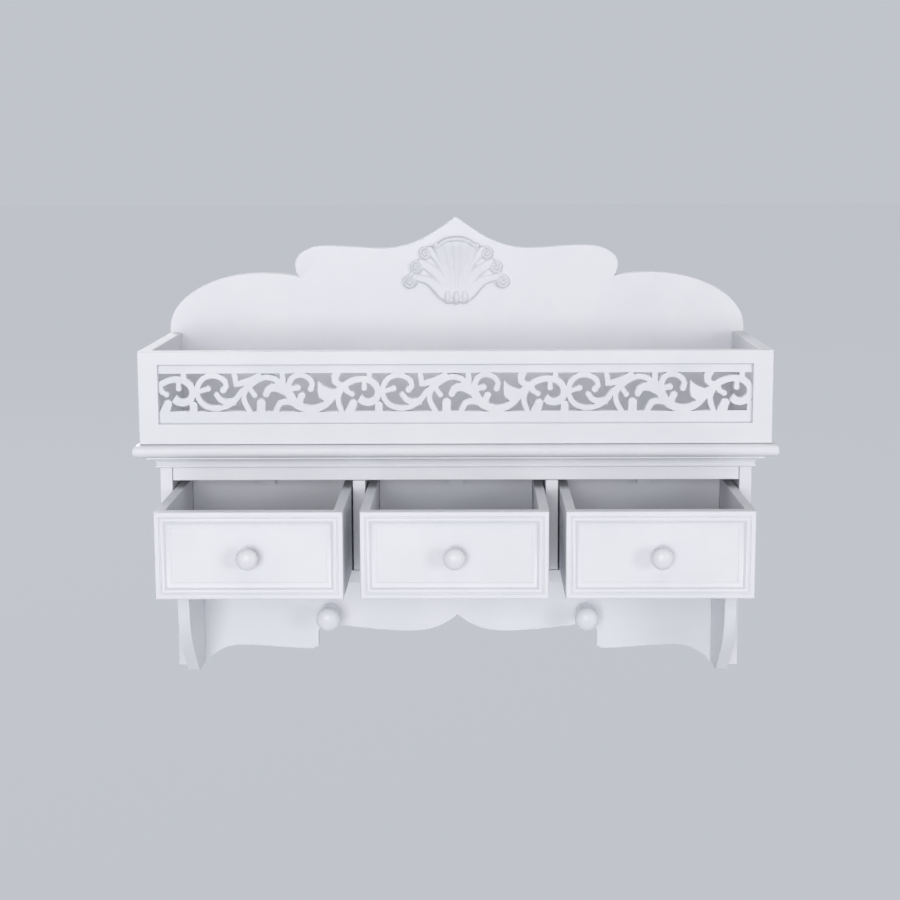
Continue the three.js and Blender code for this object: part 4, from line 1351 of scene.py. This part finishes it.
    def _mesh(self, across: np.ndarray, up: np.ndarray, height: np.ndarray) -> bpy.types.Mesh:
        """Closes the relief with a rim and a flat back.

        Args:
            across: X of each grid point.
            up: Z of each grid point.
            height: Height of each grid point, zero outside the carving.

        Returns:
            A closed mesh.
        """
        solid = height > self.edge_mm
        cells = solid[:-1, :-1] & solid[1:, :-1] & solid[:-1, 1:] & solid[1:, 1:]
        used = np.zeros_like(solid)
        for row in (0, 1):
            for column in (0, 1):
                used[row:used.shape[0] - 1 + row, column:used.shape[1] - 1 + column] |= cells
        number = np.full(solid.shape, -1)
        number[used] = np.arange(used.sum())
        points = np.stack([
            across[used], self.back_mm - height[used], up[used] + self.foot_z_mm], 1) * MM
        rows, columns = np.nonzero(cells)
        corners = np.stack([
            number[rows, columns], number[rows, columns + 1],
            number[rows + 1, columns + 1], number[rows + 1, columns]], 1)
        shape = shape_from(points.tolist(), corners.tolist())
        edge = [v for v in shape.verts if v.is_boundary]
        for _ in range(self.rim_passes):
            bmesh.ops.smooth_vert(shape, verts=edge, factor=0.5, use_axis_x=True, use_axis_z=True)
        bmesh.ops.smooth_vert(shape, verts=shape.verts, factor=0.4, use_axis_y=True)
        rim = [e for e in shape.edges if e.is_boundary]
        walls = bmesh.ops.extrude_edge_only(shape, edges=rim)["geom"]
        for vert in (g for g in walls if isinstance(g, bmesh.types.BMVert)):
            vert.co.y = self.back_mm * MM
        bmesh.ops.holes_fill(shape, edges=[e for e in shape.edges if e.is_boundary], sides=0)
        bmesh.ops.recalc_face_normals(shape, faces=shape.faces)
        return baked("shell_relief", shape)


# ------------------------------------------------------------------ studio


@dataclass
class Lamp:
    """Square soft lamp that is aimed at the shelf."""

    name: str
    at: Point
    size: float
    watts: float
    aim: Point = (0.0, -0.15, -0.15)

    def build(self) -> None:
        """Hangs the lamp."""
        light = bpy.data.lights.new(self.name, "AREA")
        light.shape, light.size, light.energy = "SQUARE", self.size, self.watts
        lamp = bpy.data.objects.new(self.name, light)
        bpy.context.scene.collection.objects.link(lamp)
        lamp.location = self.at
        lamp.rotation_mode = "QUATERNION"
        lamp.rotation_quaternion = (Vector(self.aim) - Vector(self.at)).to_track_quat("-Z", "Y")


@dataclass
class Studio:
    """Pale floor, pale surround, soft lamps and the camera."""

    floor_z: float = -0.85
    floor_half: float = 40.0
    floor_colour: str = "#DADCE0"
    floor_glow: float = 0.94  # share of the floor that the eye sees in the surround's colour
    surround: str = "#C1C5CB"
    ambient: float = 0.42
    lens: float = 75.2
    camera_at: Point = (0.016, -1.975, 0.1482)
    pitch: float = 8.79
    yaw: float = -0.68
    roll: float = -0.245
    lamps: tuple[Lamp, ...] = (
        Lamp("key", (5.2, -6.4, 0.9), 2.4, 96.0),
        Lamp("front", (-1.0, -8.4, 0.7), 3.0, 262.0),
        Lamp("top", (0.3, -4.5, 4.8), 2.0, 14.0),
        Lamp("rear", (-2.2, 4.4, 3.6), 2.4, 180.0),
    )

    def build(self) -> None:
        """Builds everything round the shelf."""
        self._floor()
        self._world()
        for lamp in self.lamps:
            lamp.build()
        self._camera()
        bpy.context.scene.view_settings.view_transform = "Standard"

    @staticmethod
    def _seen(tree: bpy.types.NodeTree) -> bpy.types.NodeSocket:
        """Tells the rays that end in the picture, straight or by way of metal or glass.

        Args:
            tree: Nodes of the floor or of the surround.

        Returns:
            One for such a ray, and zero for any other.
        """
        path = add_node(tree, "ShaderNodeLightPath").outputs
        seen = path["Is Camera Ray"]
        for way in ("Is Glossy Ray", "Is Transmission Ray"):
            seen = add_node(
                tree, "ShaderNodeMath", {"operation": "MAXIMUM"}, {0: seen, 1: path[way]}).outputs[0]
        return seen

    def _floor(self) -> None:
        """Lays the floor below the hanging shelf."""
        half, z = self.floor_half, self.floor_z
        corners = [(-half, -half, z), (half, -half, z), (half, half, z), (-half, half, z)]
        floor = linked("floor", baked("floor", shape_from(corners, [(0, 1, 2, 3)])))
        material = bpy.data.materials.new("matt_floor")
        tree = blank_tree(material)
        matt = add_node(tree, "ShaderNodeBsdfDiffuse", {"Color": linear(self.floor_colour)})
        glow = add_node(tree, "ShaderNodeEmission", {"Color": linear(self.surround), "Strength": 1.0})
        share = add_node(
            tree, "ShaderNodeMath", {"operation": "MULTIPLY", 1: self.floor_glow}, {0: self._seen(tree)})
        mix = add_node(
            tree, "ShaderNodeMixShader", None, {0: share.outputs[0], 1: matt.outputs[0], 2: glow.outputs[0]})
        add_node(tree, "ShaderNodeOutputMaterial", None, {"Surface": mix.outputs[0]})
        floor.data.materials.append(material)

    def _world(self) -> None:
        """Lights evenly from all round, and shows a pale surround to the eye."""
        world = bpy.data.worlds.new("surround")
        bpy.context.scene.world = world
        tree = blank_tree(world)
        light = add_node(
            tree, "ShaderNodeBackground", {"Color": linear("#FFFFFF"), "Strength": self.ambient})
        shown = add_node(tree, "ShaderNodeBackground", {"Color": linear(self.surround), "Strength": 1.0})
        mix = add_node(
            tree, "ShaderNodeMixShader", None,
            {0: self._seen(tree), 1: light.outputs[0], 2: shown.outputs[0]})
        add_node(tree, "ShaderNodeOutputWorld", None, {"Surface": mix.outputs[0]})

    def _camera(self) -> None:
        """Stands the camera where the photograph was taken from."""
        pitch, yaw, roll = (math.radians(a) for a in (self.pitch, self.yaw, self.roll))
        ahead = Vector((math.sin(yaw) * math.cos(pitch), math.cos(yaw) * math.cos(pitch), -math.sin(pitch)))
        level = Vector((math.cos(yaw), -math.sin(yaw), 0))
        above = level.cross(ahead)
        right = math.cos(roll) * level + math.sin(roll) * above
        top = -math.sin(roll) * level + math.cos(roll) * above
        data = bpy.data.cameras.new("camera")
        data.lens, data.sensor_width, data.clip_end = self.lens, 36.0, 200.0
        camera = bpy.data.objects.new("camera", data)
        bpy.context.scene.collection.objects.link(camera)
        turn = Matrix((right, top, -ahead)).transposed().to_4x4()
        camera.matrix_world = Matrix.Translation(self.camera_at) @ turn
        bpy.context.scene.camera = camera


def main() -> None:
    """Builds the shelf from the back forwards, then the studio."""
    logging.basicConfig(level=logging.INFO, format="%(message)s")
    BackPanel().build()
    Gallery().build()
    Cornice().build()
    DrawerCase().build()
    for number in range(1, DRAWERS + 1):
        Drawer(number).build()
    CoatPeg().build()
    ShellCarving().build()
    Studio().build()


if __name__ == "__main__":
    main()
